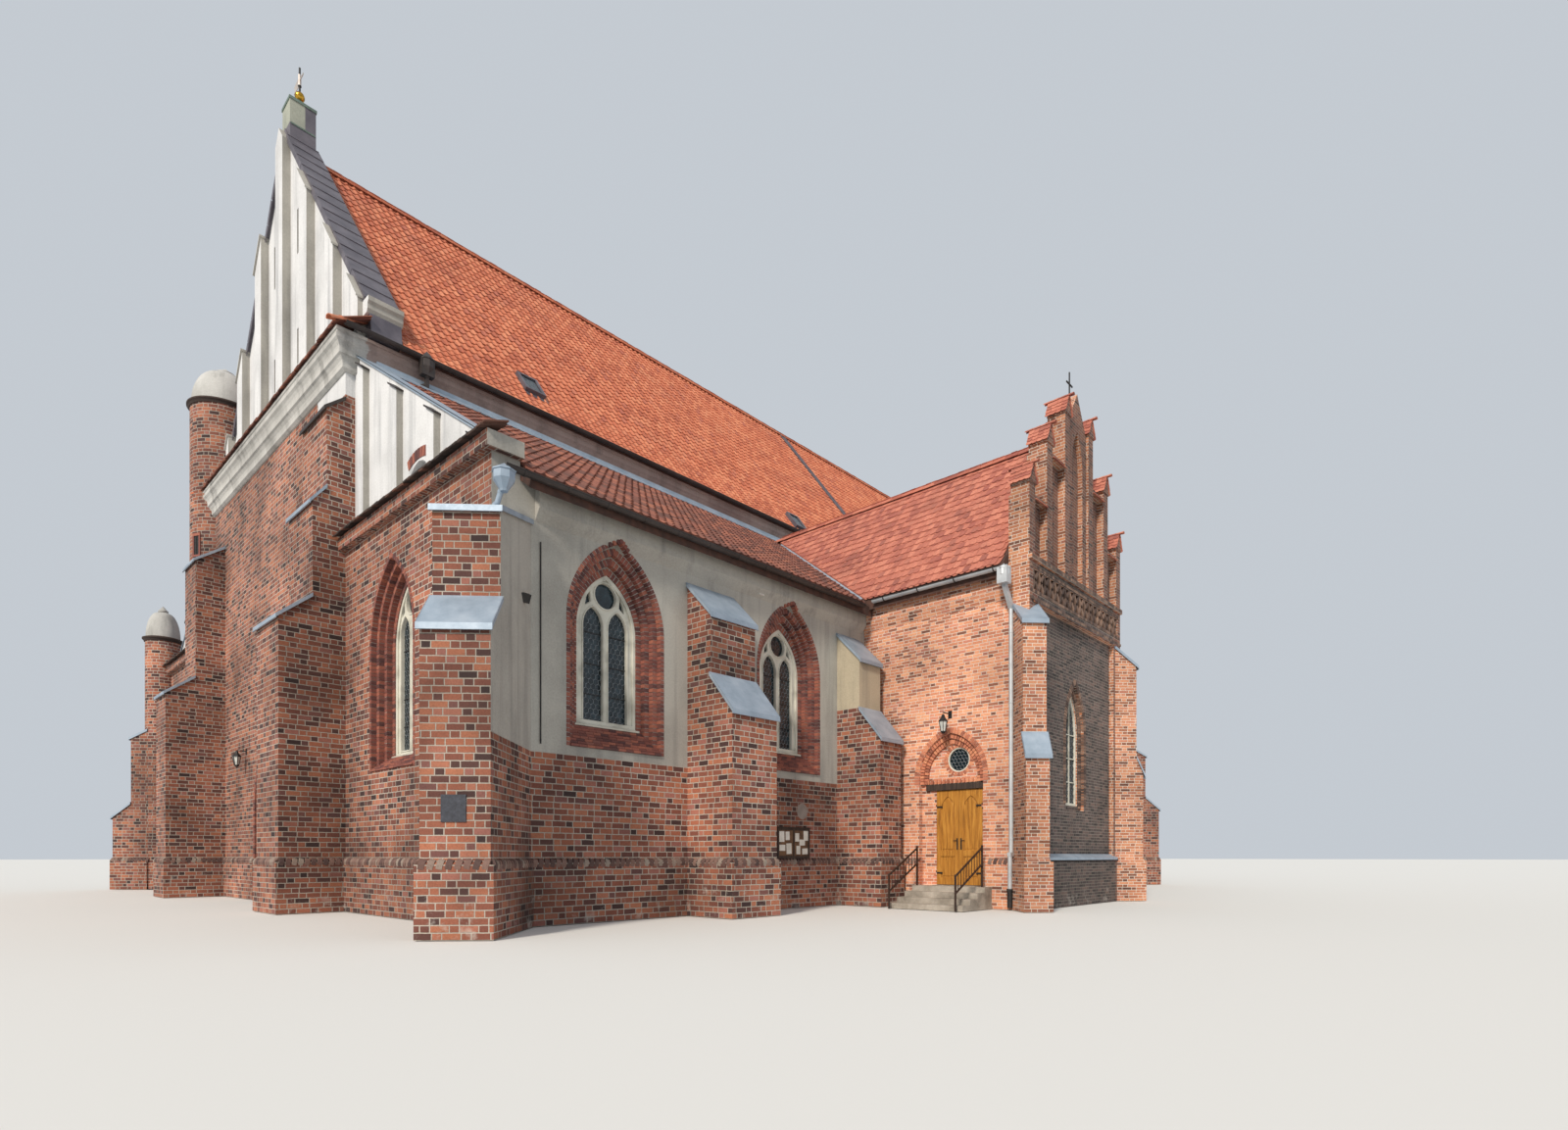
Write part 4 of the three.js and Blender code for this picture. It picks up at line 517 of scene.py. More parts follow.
STEP = 0.115
SIDE_WINDOW = {"half": 0.7, "foot": 3.7, "spring": 5.55, "crown": 6.66, "fall": 1.4, "rise": 1.43}
WEST_WINDOW = {"half": 0.7, "foot": 3.3, "spring": 5.55, "crown": 6.86, "fall": 0.9, "rise": 1.15}
FACES = {"south": 0, "west": -90, "north": 180}


def window_place(face, x, y):
    """Where a window's own u (right), depth and height stand on a wall"""
    return at(x + WEST, y, 0) @ spun(FACES[face], "Z")


WINDOWS = [(window_place("south", x, -AISLE_HALF), SIDE_WINDOW) for x in (2.54, 7.45, 18.35, 24.9)]
WINDOWS += [(window_place("north", x, AISLE_HALF), SIDE_WINDOW) for x in (2.44, 7.7, 12.96, 18.22, 23.48)]
WINDOWS += [(window_place("west", 0, y), WEST_WINDOW) for y in (-8.2, 8.2)]


def grown(shape, grow):
    """The outline of a window that much wider all round, as half width, foot, spring, crown"""
    return (shape["half"] + grow, shape["foot"] - shape["fall"] * grow, shape["spring"],
        shape["crown"] + shape["rise"] * grow)


def arch_sweep(half, rise):
    """The radius of a pointed arch's sides, and the angle that each of them turns through"""
    radius = (half * half + rise * rise) / (2 * half)
    return radius, math.acos((radius - half) / radius)


def arch_stations(half, foot, spring, crown, spacing):
    """Stations up both jambs and round a pointed arch: u, z and the angle that looks out"""
    radius, turn = arch_sweep(half, crown - spring)
    count = max(1, round((spring - foot) / spacing))
    stations = [(half, foot + (i + 0.5) * (spring - foot) / count, 0.0) for i in range(count)]
    count = max(1, round(radius * turn / spacing))
    turns = [(i + 0.5) * turn / count for i in range(count)]
    stations += [(*polar(radius, angle, half - radius, spring), angle) for angle in turns]
    return stations + [(-u, z, math.pi - angle) for u, z, angle in stations] + [(0.0, crown, math.pi / 2)]


def arch_outline(half, foot, spring, crown, steps=10, middle=0.0):
    """The closed outline of a pointed opening, from its left foot round to its left spring"""
    radius, turn = arch_sweep(half, crown - spring)
    right = [polar(radius, turn * i / steps, half - radius, spring) for i in range(steps)]
    points = [(-half, foot), (half, foot)] + right + [(0, crown)] + [(-u, z) for u, z in right[::-1]]
    return [(middle + u, z) for u, z in points]


def ring_bricks(place, stations, inner, width, front, depth, gauge):
    """Bricks set round an opening, one at each station: their place, turn and size"""
    bricks = []
    for u, z, angle in stations:
        spot = place @ at(u, front, z) @ Matrix.Rotation(-angle, 4, "Y")
        bricks.append(spot @ at(inner, 0, 0) @ sized(width, depth, gauge))
    return bricks


WINDOW_TONES = [(0.0, "#4f3434"), (0.25, "#70433c"), (0.6, "#8a5145"), (0.85, "#9a5e4b"), (1.0, "#7c5048")]
WINDOW_BRICK = loose_brick("smooth red facing brick", WINDOW_TONES, 0.82)
ORDERS = [(0.42, 0.345, 0.0), (0.345, 0.23, 0.115), (0.23, 0.115, 0.23), (0.115, 0.0, 0.345)]


def unit_brick():
    bm = bmesh.new()
    block(bm, (0, 0, -0.5), (1, 1, 0.5))
    return mesh_of("unit brick", bm)


CORBEL_FOOT = 7.02

# Four bands of brick on edge; the outer one leans out with the side walls' corbel
places = []
for place, shape in WINDOWS:
    for outer, inner, front in ORDERS:
        deep = 0.025 if inner == 0.0 else STEP + 0.004
        for station in arch_stations(*grown(shape, inner), 0.08):
            above = station[1] - CORBEL_FOOT if shape is SIDE_WINDOW else 0.0
            out = 0.75 * above + 0.02 if above > 0 and inner == 0.345 else 0.0
            places += ring_bricks(place, [station], -0.012, outer - inner + 0.008, front - 0.006 - out, deep,
                0.068)
kept(laid("window_brick_rings", places, unit_brick(), WINDOW_BRICK, 0.008))

# Plain tiles in courses down the slope of the sill, a joint every 170 mm
places = []
courses = 9
for place, shape in WINDOWS:
    half, low, _, _ = grown(shape, 0.345)
    climb = shape["foot"] + 0.02 - low
    for course in range(courses):
        deep = -0.035 + 0.4 * course / courses
        wide = shape["half"] + 0.115 * max(0, 3 - int((deep + 0.02) / STEP)) - 0.004
        count = round(2 * wide / 0.17)
        for i in range(count):
            u = -wide + 2 * wide * (i + 0.5) / count
            spot = at(u - wide / count + 0.003, deep, low + climb * (course + 0.5) / courses)
            places.append(place @ spot @ sized(2 * wide / count - 0.006, 0.16, climb / courses * 0.8))
kept(laid("window_sills", places, unit_brick(), WINDOW_BRICK, 0.01))


def clouded(name, noise, stops, roughness, depth, **own):
    """One material whose shade and relief both follow a cloudy noise"""
    material, tree = new_material(name)
    place = add(tree, "TexCoord", out="Object")
    cloud = add(tree, "TexNoise", {"Vector": place, **dict(zip(("Scale", "Detail", "Roughness"), noise))})
    finish(tree, (add(tree, "ValToRGB", (cloud,), stops=stops), cloud), roughness, depth, **own)
    return material


# Oil paint brushed on oak: chalky off-white in grey clouds, with the brush's drag
WINDOW_PAINT, tree = new_material("off-white oil paint on oak")
place = add(tree, "TexCoord", out="Object")
drawn = add(tree, "VectorMath", (place, (40, 40, 5)), "MULTIPLY")
drag = add(tree, "TexNoise", {"Vector": drawn, "Scale": 1.0, "Detail": 3.0})
dirt = add(tree, "TexNoise", {"Vector": place, "Scale": 3.0, "Detail": 5.0})
colour = add(tree, "ValToRGB", (dirt,), stops=[(0.3, "#a9a79b"), (0.5, "#c9c7ba"), (0.75, "#d6d4c8")])
finish(tree, (colour, drag), 0.55, 0.001)

# Glass is dark from outside and smooth, but every quarry is bent a little its own way; lead is
# dull blue-grey, and chalky where the rain runs.
GLASS = clouded("old cylinder glass", (9.0, 2.0), [(0.3, "#10181c"), (0.6, "#1d2c33"), (0.8, "#2c4048")], 0.07,
    0.02, IOR=1.52)
LEAD = clouded("weathered lead", (14.0, 3.0), [(0.3, "#5f6569"), (0.7, "#90969a")], 0.6, 0.001, Metallic=0.6)
LIGHT_HALF = 0.2175
LIGHT_MIDDLE = 0.2825
OCULUS_BELOW = 0.41
OCULUS_RADIUS = 0.24


def circle(u, z, radius, count=24):
    return [polar(radius, 2 * math.pi * i / count, u, z) for i in range(count)]


def light_outline(shape, side, inset=0.0):
    """One pointed light of a window's frame"""
    crown = shape["crown"] - OCULUS_BELOW - 0.26
    return arch_outline(LIGHT_HALF - inset, shape["foot"] + 0.12 + inset, crown - 0.36, crown - inset, 6,
        side * LIGHT_MIDDLE)


def inside(point, outline):
    """Whether a point lies within an outline"""
    odd = False
    for (x0, y0), (x1, y1) in zip(outline, outline[1:] + outline[:1]):
        if (y0 > point[1]) != (y1 > point[1]) and point[0] < x0 + (point[1] - y0) * (x1 - x0) / (y1 - y0):
            odd = not odd
    return odd


# Turns that stand a board's plane up, and that set an outline across the wall
ACROSS = Matrix(((0, 0, 1, 0), (1, 0, 0, 0), (0, 1, 0, 0), (0, 0, 0, 1)))
STAND_UP = Matrix(((1, 0, 0, 0), (0, 0, -1, 0), (0, 1, 0, 0), (0, 0, 0, 1)))


def panel(bm, place, deep, outer, holes, thick, bevel):
    """Adds a flat board with holes, its edges eased, its middle that deep behind a place's face"""
    corners, edges = [], []
    for outline in [outer] + list(holes):
        first = len(corners)
        corners += [Vector(point) for point in outline]
        edges += [(first + i, first + (i + 1) % len(outline)) for i in range(len(outline))]
    corners, _, faces, _, _, _ = delaunay_2d_cdt(corners, edges, [], 0, 1e-5)
    board = bmesh.new()
    front = [board.verts.new((u, z, thick / 2)) for u, z in corners]
    for face in faces:
        middle = sum((corners[i] for i in face), Vector((0, 0))) / len(face)
        if inside(middle, outer) and not any(inside(middle, hole) for hole in holes):
            board.faces.new([front[i] for i in face])
    bmesh.ops.delete(board, geom=[v for v in board.verts if not v.link_faces], context="VERTS")
    drawn = bmesh.ops.extrude_face_region(board, geom=board.faces[:], use_keep_orig=True)["geom"]
    for vert in drawn:
        if isinstance(vert, bmesh.types.BMVert):
            vert.co.z = -thick / 2
    bmesh.ops.recalc_face_normals(board, faces=board.faces)
    level = [edge for edge in board.edges if abs(edge.verts[0].co.z - edge.verts[1].co.z) < 1e-4]
    edges = [edge for edge in level if edge.calc_face_angle(0) > 1.4]
    bmesh.ops.bevel(board, geom=edges, offset=bevel, segments=1, affect="EDGES", clamp_overlap=True)
    mesh = mesh_of("board", board)
    mesh.transform(place @ at(0, deep, 0) @ STAND_UP)
    bm.from_mesh(mesh)


# A rebated outer frame with the tracery board behind its face, and a sill board
bm = bmesh.new()
for place, shape in WINDOWS:
    top = shape["crown"] - OCULUS_BELOW
    panel(bm, place, 0.4, arch_outline(*grown(shape, -0.003)), [arch_outline(*grown(shape, -0.075))], 0.07, 0.008)
    side_cut = [(0.33, top - 0.16), (0.45, top - 0.25), (0.42, top - 0.1), (0.35, top + 0.04)]
    holes = [light_outline(shape, -1), light_outline(shape, 1), circle(0, top, OCULUS_RADIUS), side_cut,
        [(-u, z) for u, z in side_cut[::-1]]]
    panel(bm, place, 0.44, arch_outline(*grown(shape, -0.05)), holes, 0.075, 0.014)
    for side in (-1, 1):
        panel(bm, place, 0.4, light_outline(shape, side, -0.03), [light_outline(shape, side, -0.004)], 0.03, 0.006)
    outer, inner = (circle(0, top, OCULUS_RADIUS + grow) for grow in (0.035, 0.004))
    panel(bm, place, 0.4, outer, [inner], 0.03, 0.006)
    foot = shape["foot"]
    slope = [(0.3, foot - 0.025), (0.42, foot - 0.025), (0.42, foot + 0.06), (0.29, foot + 0.005)]
    prism(bm, slope, place @ ACROSS, -0.74, 0.74)
shown("window_frames", bm, WINDOW_PAINT, replaces=("south_window_1", "south_window_2",
    "south_aisle_west_window", "north_aisle_west_window"))
dress(GLASS, "south_aisle_glazing", "north_aisle_glazing", "east_window")

# One pane behind each tracery board
bm = bmesh.new()
for place, shape in WINDOWS:
    prism(bm, arch_outline(*grown(shape, -0.06)), place @ STAND_UP, -0.472, -0.466)
shown("window_panes", bm, GLASS)


def hexagon_cames(outline, side):
    """The sides of hexagonal quarries that lie within a light, each as its two ends"""
    ends = []
    us, zs = [u for u, _ in outline], [z for _, z in outline]
    across, rise = side * math.sqrt(3), side * 1.5
    for row in range(int((max(zs) - min(zs)) / rise) + 2):
        for column in range(int((max(us) - min(us)) / across) + 2):
            u = min(us) + across * (column + 0.5 * (row % 2))
            z = min(zs) + rise * row
            corners = [polar(side, math.radians(30 + 60 * k), u, z) for k in range(4)]
            for a, b in zip(corners, corners[1:]):
                if inside(((a[0] + b[0]) / 2, (a[1] + b[1]) / 2), outline):
                    ends.append((a, b))
    return ends


def toward(spot, way):
    """A place whose Z points along a way"""
    return Matrix.Translation(spot) @ way.to_track_quat("Z", "Y").to_matrix().to_4x4()


def came_places(place, ends, deep, size):
    """Where a lead came lies between each pair of ends"""
    places = []
    for a, b in ends:
        a, b = Vector((a[0], deep, a[1])), Vector((b[0], deep, b[1]))
        places.append(place @ toward((a + b) / 2, b - a) @ sized(size, size, (b - a).length))
    return places


def came_unit():
    bm = bmesh.new()
    prism(bm, [(-0.5, -0.4), (0.5, -0.4), (0.0, 0.5)], Matrix(), -0.5, 0.5)
    return mesh_of("came", bm)


# Lead cames round 110 mm quarries
places = []
for place, shape in WINDOWS:
    for outline in (light_outline(shape, -1, -0.01), light_outline(shape, 1, -0.01)):
        places += came_places(place, hexagon_cames(outline, 0.0635), 0.465, 0.011)
kept(laid("window_leading", places, came_unit(), LEAD))


def iron_look(name, tones, roughness):
    """Forged or rolled iron under old paint: dark, dull, with rust where the paint has gone"""
    return clouded(name, (16.0, 6.0, 0.65), tones, roughness, 0.002, Metallic=0.25)


DARK_IRON = iron_look("black-painted iron", [(0.35, "#1b1b1c"), (0.6, "#2b2a2a"), (0.78, "#4a3128")], 0.55)

# Flat iron bars across the lights, let into the frame
bm = bmesh.new()
for place, shape in WINDOWS:
    for z in (shape["foot"] + 0.62, shape["foot"] + 1.2, shape["spring"] - 0.05):
        block(bm, (-0.51, 0.452, z - 0.009), (0.51, 0.462, z + 0.009), place)
shown("window_saddle_bars", bm, DARK_IRON)

# Main cornice: brick corbelled out in steps, run with a lime mortar moulding and painted.
# The west side is still white under its rain streaks, the sides have weathered to mauve.

CORNICE = [(-0.3, 12.0), (0.03, 12.0), (0.09, 12.05), (0.09, 12.13), (0.105, 12.2), (0.15, 12.27), (0.19, 12.3),
    (0.19, 12.4), (0.2, 12.45), (0.235, 12.52), (0.28, 12.57), (0.28, 12.66), (0.255, 12.67), (0.255, 12.72),
    (0.28, 12.74), (0.28, 12.8), (-0.3, 12.8)]
NAVE_END = 30.206


def sweep(bm, path, profile):
    """Draws a closed profile (side, height) along a level path, mitred at its turns"""
    path = [Vector(point) for point in path]
    up = Vector((0, 0, 1))
    rings = []
    for i, point in enumerate(path):
        near = path[max(0, i - 1):i + 2]
        ways = [(b - a).normalized().cross(up) for a, b in zip(near, near[1:])]
        side = sum(ways, Vector()).normalized()
        side /= side.dot(ways[0])
        rings.append([point + side * a + up * b for a, b in profile])
    skin(bm, rings)


MOULDING, tree = new_material("run lime moulding, mauve limewash on the sides")
white = plaster_look(tree, "#bdbcb8", "#9b9a96", "#706f6c")
mauve = plaster_look(tree, "#a08f88", "#8b7973", "#6f625e")
finish(tree, covered(tree, past(tree, (1, 0, 0), WEST + 0.4, 0.5), white, mauve), 0.9, 0.004)
bm = bmesh.new()
sweep(bm, [(WEST + NAVE_END, NAVE_HALF, 0), (WEST, NAVE_HALF, 0), (WEST, -NAVE_HALF, 0),
    (WEST + NAVE_END, -NAVE_HALF, 0)], CORNICE)
shown("nave_cornice_moulding", bm, MOULDING, replaces=("nave_cornice",))


def patina(tree, light, dark, seam):
    """Colour and height of sheet under the weather: paler and darker in soft clouds"""
    place = add(tree, "TexCoord", out="Object")
    cloud = add(tree, "TexNoise", {"Vector": place, "Scale": 2.2, "Detail": 6.0, "Roughness": 0.62})
    return add(tree, "ValToRGB", (cloud,), stops=[(0.28, dark), (0.5, seam), (0.72, light)]), cloud


def zinc_look(name, *tones):
    """Rolled sheet under a soft patina, its shine broken up"""
    material, tree = new_material(name)
    fine = add(tree, "TexNoise", {"Vector": add(tree, "TexCoord", out="Object"), "Scale": 26.0, "Detail": 2.0})
    rough = add(tree, "MapRange", (fine, 0.0, 1.0, 0.42, 0.62))
    finish(tree, patina(tree, *tones), rough, 0.006, Metallic=0.35)
    return material


# Zinc's blue-grey is partly patina and partly a painted reflection of the sky
ZINC = zinc_look("patinated zinc sheet with painted sky reflection", "#a9b6c3", "#8595a4", "#98a7b6")
OLD_SHEET = ("#77727a", "#55525b", "#66626a")
DARK_SHEET = zinc_look("old purple-grey sheet", *OLD_SHEET)
BROWN_SHEET = zinc_look("brown painted sheet", "#4a4341", "#332e2d", "#3e3836")

# Zinc turned up the wall where the lean-to roofs meet the nave
bm = bmesh.new()
for side in (-1, 1):
    a, b = (WEST + 0.55, side * 5.98, 0), (WEST + 29.3, side * 5.98, 0)
    path = [a, b] if side < 0 else [b, a]
    sweep(bm, path, [(0.02, 12.24), (0.34, 12.03), (0.34, 12.06), (0.035, 12.27), (0.035, 12.36),
        (-0.06, 12.36), (-0.06, 12.2)])
shown("nave_flashing", bm, ZINC)

# Roofs of the nave and the aisles: single-lap clay pantiles on battens, laid dry, with half
# round ridge tiles in mortar. The nave was tiled anew in bright orange; the aisles are old.

PAN = [(-0.110, 0.018), (-0.05, 0.002), (0.02, 0.002), (0.06, 0.030), (0.088, 0.034), (0.112, 0.014)]
PAN_WIDE = 0.205
PAN_GAUGE = 0.33
PAN_LONG = 0.4
NAVE_RIDGE = 20.65
NAVE_PITCH = 1.283
NAVE_EAVE = 6.06
AISLE_EAVE = 12.66
AISLE_EAVE_TOP = 7.67
AISLE_PITCH = 0.675
PORCH_MIDDLE = 13.25
PORCH_RIDGE = 11.82
PORCH_PITCH = 1.27


def pantile():
    """A closed light body: the wave on top, flat below, its foot lifted over the next tile"""
    bm = bmesh.new()
    skin(bm, [[(x, y, over + z) for x, z in PAN] + [(PAN[-1][0], y, under), (PAN[0][0], y, under)] for y, under,
        over in ((0.0, 0.026, 0.046), (PAN_LONG, 0.0, 0.014))], flip=True)
    return mesh_of("pantile", bm)


def slope_frame(corner, along, up):
    """A roof slope's own axes: X along the eave, Y up the slope, Z out of it"""
    out = along.cross(up)
    turn = Matrix((along, up, out)).transposed().to_4x4()
    return Matrix.Translation(corner) @ turn


def tile_places(slope, columns, wide, rows, seed, skip=None):
    """One place for every tile of a slope, each a few millimetres off its line"""
    luck = random.Random(seed)
    places = []
    for y in rows:
        for column in range(columns):
            x = wide * (column + 0.5)
            spot = at(x + luck.uniform(-0.003, 0.003), y + luck.uniform(-0.006, 0.006), luck.uniform(0, 0.004))
            place = slope @ spot
            if not (skip and skip(place.translation)):
                places.append(place)
    return places


def clay_tile(name, tones, dark):
    """Fired clay tile: each its own shade, sandy, darker with lichen and soot in broad drifts"""
    material, tree = new_material(name)
    own = add(tree, "NewGeometry", out="Random Per Island")
    tone = add(tree, "ValToRGB", (own,), stops=tones)
    place = add(tree, "TexCoord", out="Object")
    drift = add(tree, "TexNoise", {"Vector": place, "Scale": 0.5, "Detail": 7.0, "Roughness": 0.7})
    drift = add(tree, "MapRange", (drift, 0.5, 0.75, 0.0, 0.6))
    tone = add(tree, "Mix", {0: drift, 6: tone, 7: srgb(dark)}, **RGBA)
    grain = add(tree, "TexNoise", {"Vector": place, "Scale": 24.0, "Detail": 4.0})
    finish(tree, (speckled(tree, tone, grain, 0.82, 1.12), grain), 0.8, 0.003)
    return material


NEW_TILE = clay_tile("new orange clay pantile", [(0.0, "#a55a41"), (0.2, "#b66648"), (0.6, "#c17252"),
    (0.9, "#ca805e"), (1.0, "#a55c49")], "#8f4e3c")
OLD_TILE = clay_tile("weathered clay pantile", [(0.0, "#5b3b33"), (0.3, "#724539"), (0.6, "#834f40"),
    (0.85, "#985e49"), (1.0, "#644139")], "#4e3c36")


def under_porch(place):
    """Whether a tile of the south aisle would lie wholly under the porch's roof"""
    out = abs(place.x - WEST - PORCH_MIDDLE)
    return place.y < 0 and PORCH_RIDGE - PORCH_PITCH * out > place.z + 0.4 and out < 3.2


def valley_point(out):
    """Where the porch's roof meets the aisle's, that far east or west of its middle"""
    z = PORCH_RIDGE - PORCH_PITCH * abs(out)
    return Vector((WEST + PORCH_MIDDLE + out, -AISLE_EAVE + (z - AISLE_EAVE_TOP) / AISLE_PITCH, z))


def cut_at_valleys(piece, beyond):
    """Cuts tiles along both valleys, 50 mm short of them, on the side that is asked for"""
    bm = bmesh.new()
    bm.from_mesh(piece.data)
    for side in (-1, 1):
        low, high = valley_point(side * 3.1), valley_point(side * 0.15)
        across = (high - low).cross(Vector((0, 0, 1))).normalized()
        if (across.y > 0) != (beyond > 0):
            across.negate()
        faces = [face for face in bm.faces if (face.calc_center_median().x - WEST - PORCH_MIDDLE) * side > 0
            and face.calc_center_median().y > -13.6]
        parts = dict.fromkeys(part for face in faces for part in (face, *face.edges, *face.verts))
        cut = bmesh.ops.bisect_plane(bm, geom=list(parts), plane_co=low - across * 0.05, plane_no=across,
            clear_outer=True)["geom_cut"]
        bmesh.ops.holes_fill(bm, edges=[part for part in cut if isinstance(part, bmesh.types.BMEdge)])
    bm.to_mesh(piece.data)
    bm.free()
    return piece


STAIR_TURRET = (0.45, 6.35)


def by_turret(place):
    """Whether a tile would run into the stair turret"""
    return math.hypot(place.x - WEST - STAIR_TURRET[0], place.y - STAIR_TURRET[1]) < 1.02


# The nave's lowest courses lie closer, over the sprockets at its eaves
run = math.hypot(1, NAVE_PITCH)
length = NAVE_EAVE * run
rows = [0.22 * i for i in range(6)]
while rows[-1] + PAN_GAUGE < length - 0.1:
    rows.append(rows[-1] + (PAN_GAUGE if len(rows) > 6 else 0.27))
eave = NAVE_RIDGE - NAVE_PITCH * NAVE_EAVE
for side, name in ((-1, "south"), (1, "north")):
    up = Vector((0, -side, NAVE_PITCH)) / run
    start = WEST + (1.13 if side < 0 else 30.3)
    slope = slope_frame(Vector((start, side * NAVE_EAVE, eave)), Vector((-side, 0, 0)), up)
    places = tile_places(slope, round(29.17 / PAN_WIDE), PAN_WIDE, rows, 20 + side, by_turret)
    kept(laid("nave_roof_tiles_" + name, places, pantile(), NEW_TILE, 0.012))

# The aisles' tiles stop at the porch's valleys in the south and at the turret in the north
run = math.hypot(1, AISLE_PITCH)
rows = [PAN_GAUGE * i for i in range(round(6.62 * run / PAN_GAUGE))]
for side, name in ((-1, "south"), (1, "north")):
    up = Vector((0, -side, AISLE_PITCH)) / run
    start = WEST + (0.56 if side < 0 else 29.3)
    slope = slope_frame(Vector((start, side * AISLE_EAVE, AISLE_EAVE_TOP)), Vector((-side, 0, 0)), up)
    skip = under_porch if side < 0 else by_turret
    places = tile_places(slope, round(28.7 / PAN_WIDE), PAN_WIDE, rows, 30 + side, skip)
    tiles = laid("aisle_roof_tiles_" + name, places, pantile(), OLD_TILE, 0.02)
    if side < 0:
        cut_at_valleys(tiles, -1)
    kept(tiles)


def plain_look(name, low, high, roughness, **own):
    """One even material with a faint cloud in it"""
    return clouded(name, (6.0, 4.0), [(0.35, low), (0.65, high)], roughness, 0.0005, **own)


UNDER_TILES = plain_look("dark sarking felt and battens", "#3a2a25", "#54382e", 0.9)
dress(UNDER_TILES, "nave_roof", "south_aisle_roof", "south_aisle_roof_middle", "south_aisle_roof_east",
    "north_aisle_roof")


def ridge_tile(long=0.39, radius=0.13):
    """A half-round cap, wider at the end that laps over the next one"""
    bm = bmesh.new()
    ends = []
    for x, size in ((-long / 2, radius), (long / 2, radius * 0.88)):
        outer = [polar(size, math.pi * i / 8) for i in range(9)]
        inner = [(0.86 * y, 0.86 * z) for y, z in outer[::-1]]
        ends.append([(x, y, z - 0.05) for y, z in outer + inner])
    skin(bm, ends, flip=True)
    return mesh_of("ridge tile", bm)


line = [(WEST + 1.25, 0, NAVE_RIDGE + 0.06), (WEST + 30.1, 0, NAVE_RIDGE + 0.06)]
kept(row_of("nave_ridge_tiles", [line], ridge_tile(), NEW_TILE, 0.36, 0.01))


def on_nave_roof(x, y):
    """A place on the nave's south slope, its X along the roof and its Y up it"""
    run = math.hypot(1, NAVE_PITCH)
    spot = Vector((x + WEST, y, NAVE_RIDGE + NAVE_PITCH * y))
    return slope_frame(spot, Vector((1, 0, 0)), Vector((0, 1, NAVE_PITCH)) / run)


# A strip of sheet from the ridge to the eave, folded up at both sides
bm = bmesh.new()
length = NAVE_EAVE * math.hypot(1, NAVE_PITCH)
profile = [(-0.13, 0.07), (0.13, 0.07), (0.13, 0.12), (0.115, 0.12), (0.115, 0.085), (-0.115, 0.085),
    (-0.115, 0.12), (-0.13, 0.12)]
prism(bm, profile, on_nave_roof(20.55, -NAVE_EAVE + 0.02) @ STAND_UP, -length, 0)
shown("nave_roof_strip", bm, DARK_SHEET)

# Small iron roof lights: a raised frame, one pane, a sheet apron
frames, panes = bmesh.new(), bmesh.new()
for x, y in ((4.72, -5.3), (15.05, -5.75)):
    place = on_nave_roof(x, y)
    for low, high in (((-0.3, -0.4, 0), (-0.23, 0.4, 0.16)), ((0.23, -0.4, 0), (0.3, 0.4, 0.16)),
            ((-0.23, -0.4, 0), (0.23, -0.33, 0.16)), ((-0.23, 0.33, 0), (0.23, 0.4, 0.16))):
        block(frames, low, high, place)
    block(frames, (-0.36, -0.56, 0.045), (0.36, -0.4, 0.06), place)
    block(panes, (-0.235, -0.335, 0.12), (0.235, 0.335, 0.13), place)
shown("nave_roof_lights", frames, DARK_SHEET)
shown("nave_roof_light_panes", panes, GLASS)

# West gable: brick plastered white, with flat pilaster strips, slits, a coping of old sheet
# in lapped lengths, and at the top a pedestal with a gilt ball and the weather vane.

# White limewash on the face; the strips' south sides are grey, partly unwashed plaster and partly painted shade
WHITE, tree = new_material("white limewash on lime plaster")
look = covered(tree, facing(tree, (0, -1, 0)), plaster_look(tree, *WHITE_PLASTER),
    plaster_look(tree, *GREY_RENDER))
finish(tree, look, 0.9, 0.004)
dress(WHITE, "nave_west_gable")

# Dark sheet, but for the west half of the pedestal, which is grey-green plaster
material, tree = new_material("old sheet and a plastered pedestal")
sheet = patina(tree, *OLD_SHEET)
top = past(tree, UP, 21.24, 0.0)
mask = add(tree, "Math", (top, past(tree, (-1, 0, 0), -WEST - 0.8, 0.0)), "MULTIPLY")
look = covered(tree, mask, sheet, plaster_look(tree, "#a3a698", "#878b7e", "#63675e"))
finish(tree, look, 0.6, 0.006)
dress(material, "gable_coping")
GABLE_APEX = 21.13
GABLE_SLOPE = 1.275
COPING_MIDDLE = 0.75

# Lengths of sheet lapped down the slope, their long edges turned down over the wall
bm = bmesh.new()
block(bm, (-0.31, -0.385, 0.0), (0.31, 0.385, 0.012))
block(bm, (0.285, -0.385, 0.012), (0.31, 0.385, 0.03))
for side in (-1, 1):
    block(bm, (-0.31, side * 0.385 - 0.008, -0.13), (0.31, side * 0.385 + 0.008, 0.016))
lines = [[(WEST + COPING_MIDDLE, side * y, GABLE_APEX - GABLE_SLOPE * y + 0.1) for y in (5.62, 0.5)]
    for side in (-1, 1)]
kept(row_of("gable_coping_sheets", lines, mesh_of("sheet", bm), DARK_SHEET, 0.6, 0.006))


def gable_section(side):
    """Turns an outline in distance from the middle and height into a body drawn along X"""
    return Matrix(((0, 0, 1, WEST), (side, 0, 0, 0), (0, 1, 0, 0), (0, 0, 0, 1)))


# Moulded plaster blocks at the foot of the gable, each on a sheet apron
stones, aprons = bmesh.new(), bmesh.new()
for side in (-1, 1):
    turn = gable_section(side)
    prism(stones, [(5.6, 13.42), (5.93, 13.42), (5.97, 13.5), (5.97, 13.6), (6.02, 13.66), (6.02, 13.76),
        (5.6, 13.76)], turn, 0.36, 1.14)
    prism(aprons, [(5.6, 12.82), (6.04, 12.86), (5.96, 13.41), (5.6, 13.41)], turn, 0.42, 1.1)
shown("gable_kneelers", stones, WHITE)
shown("gable_kneeler_aprons", aprons, DARK_SHEET)

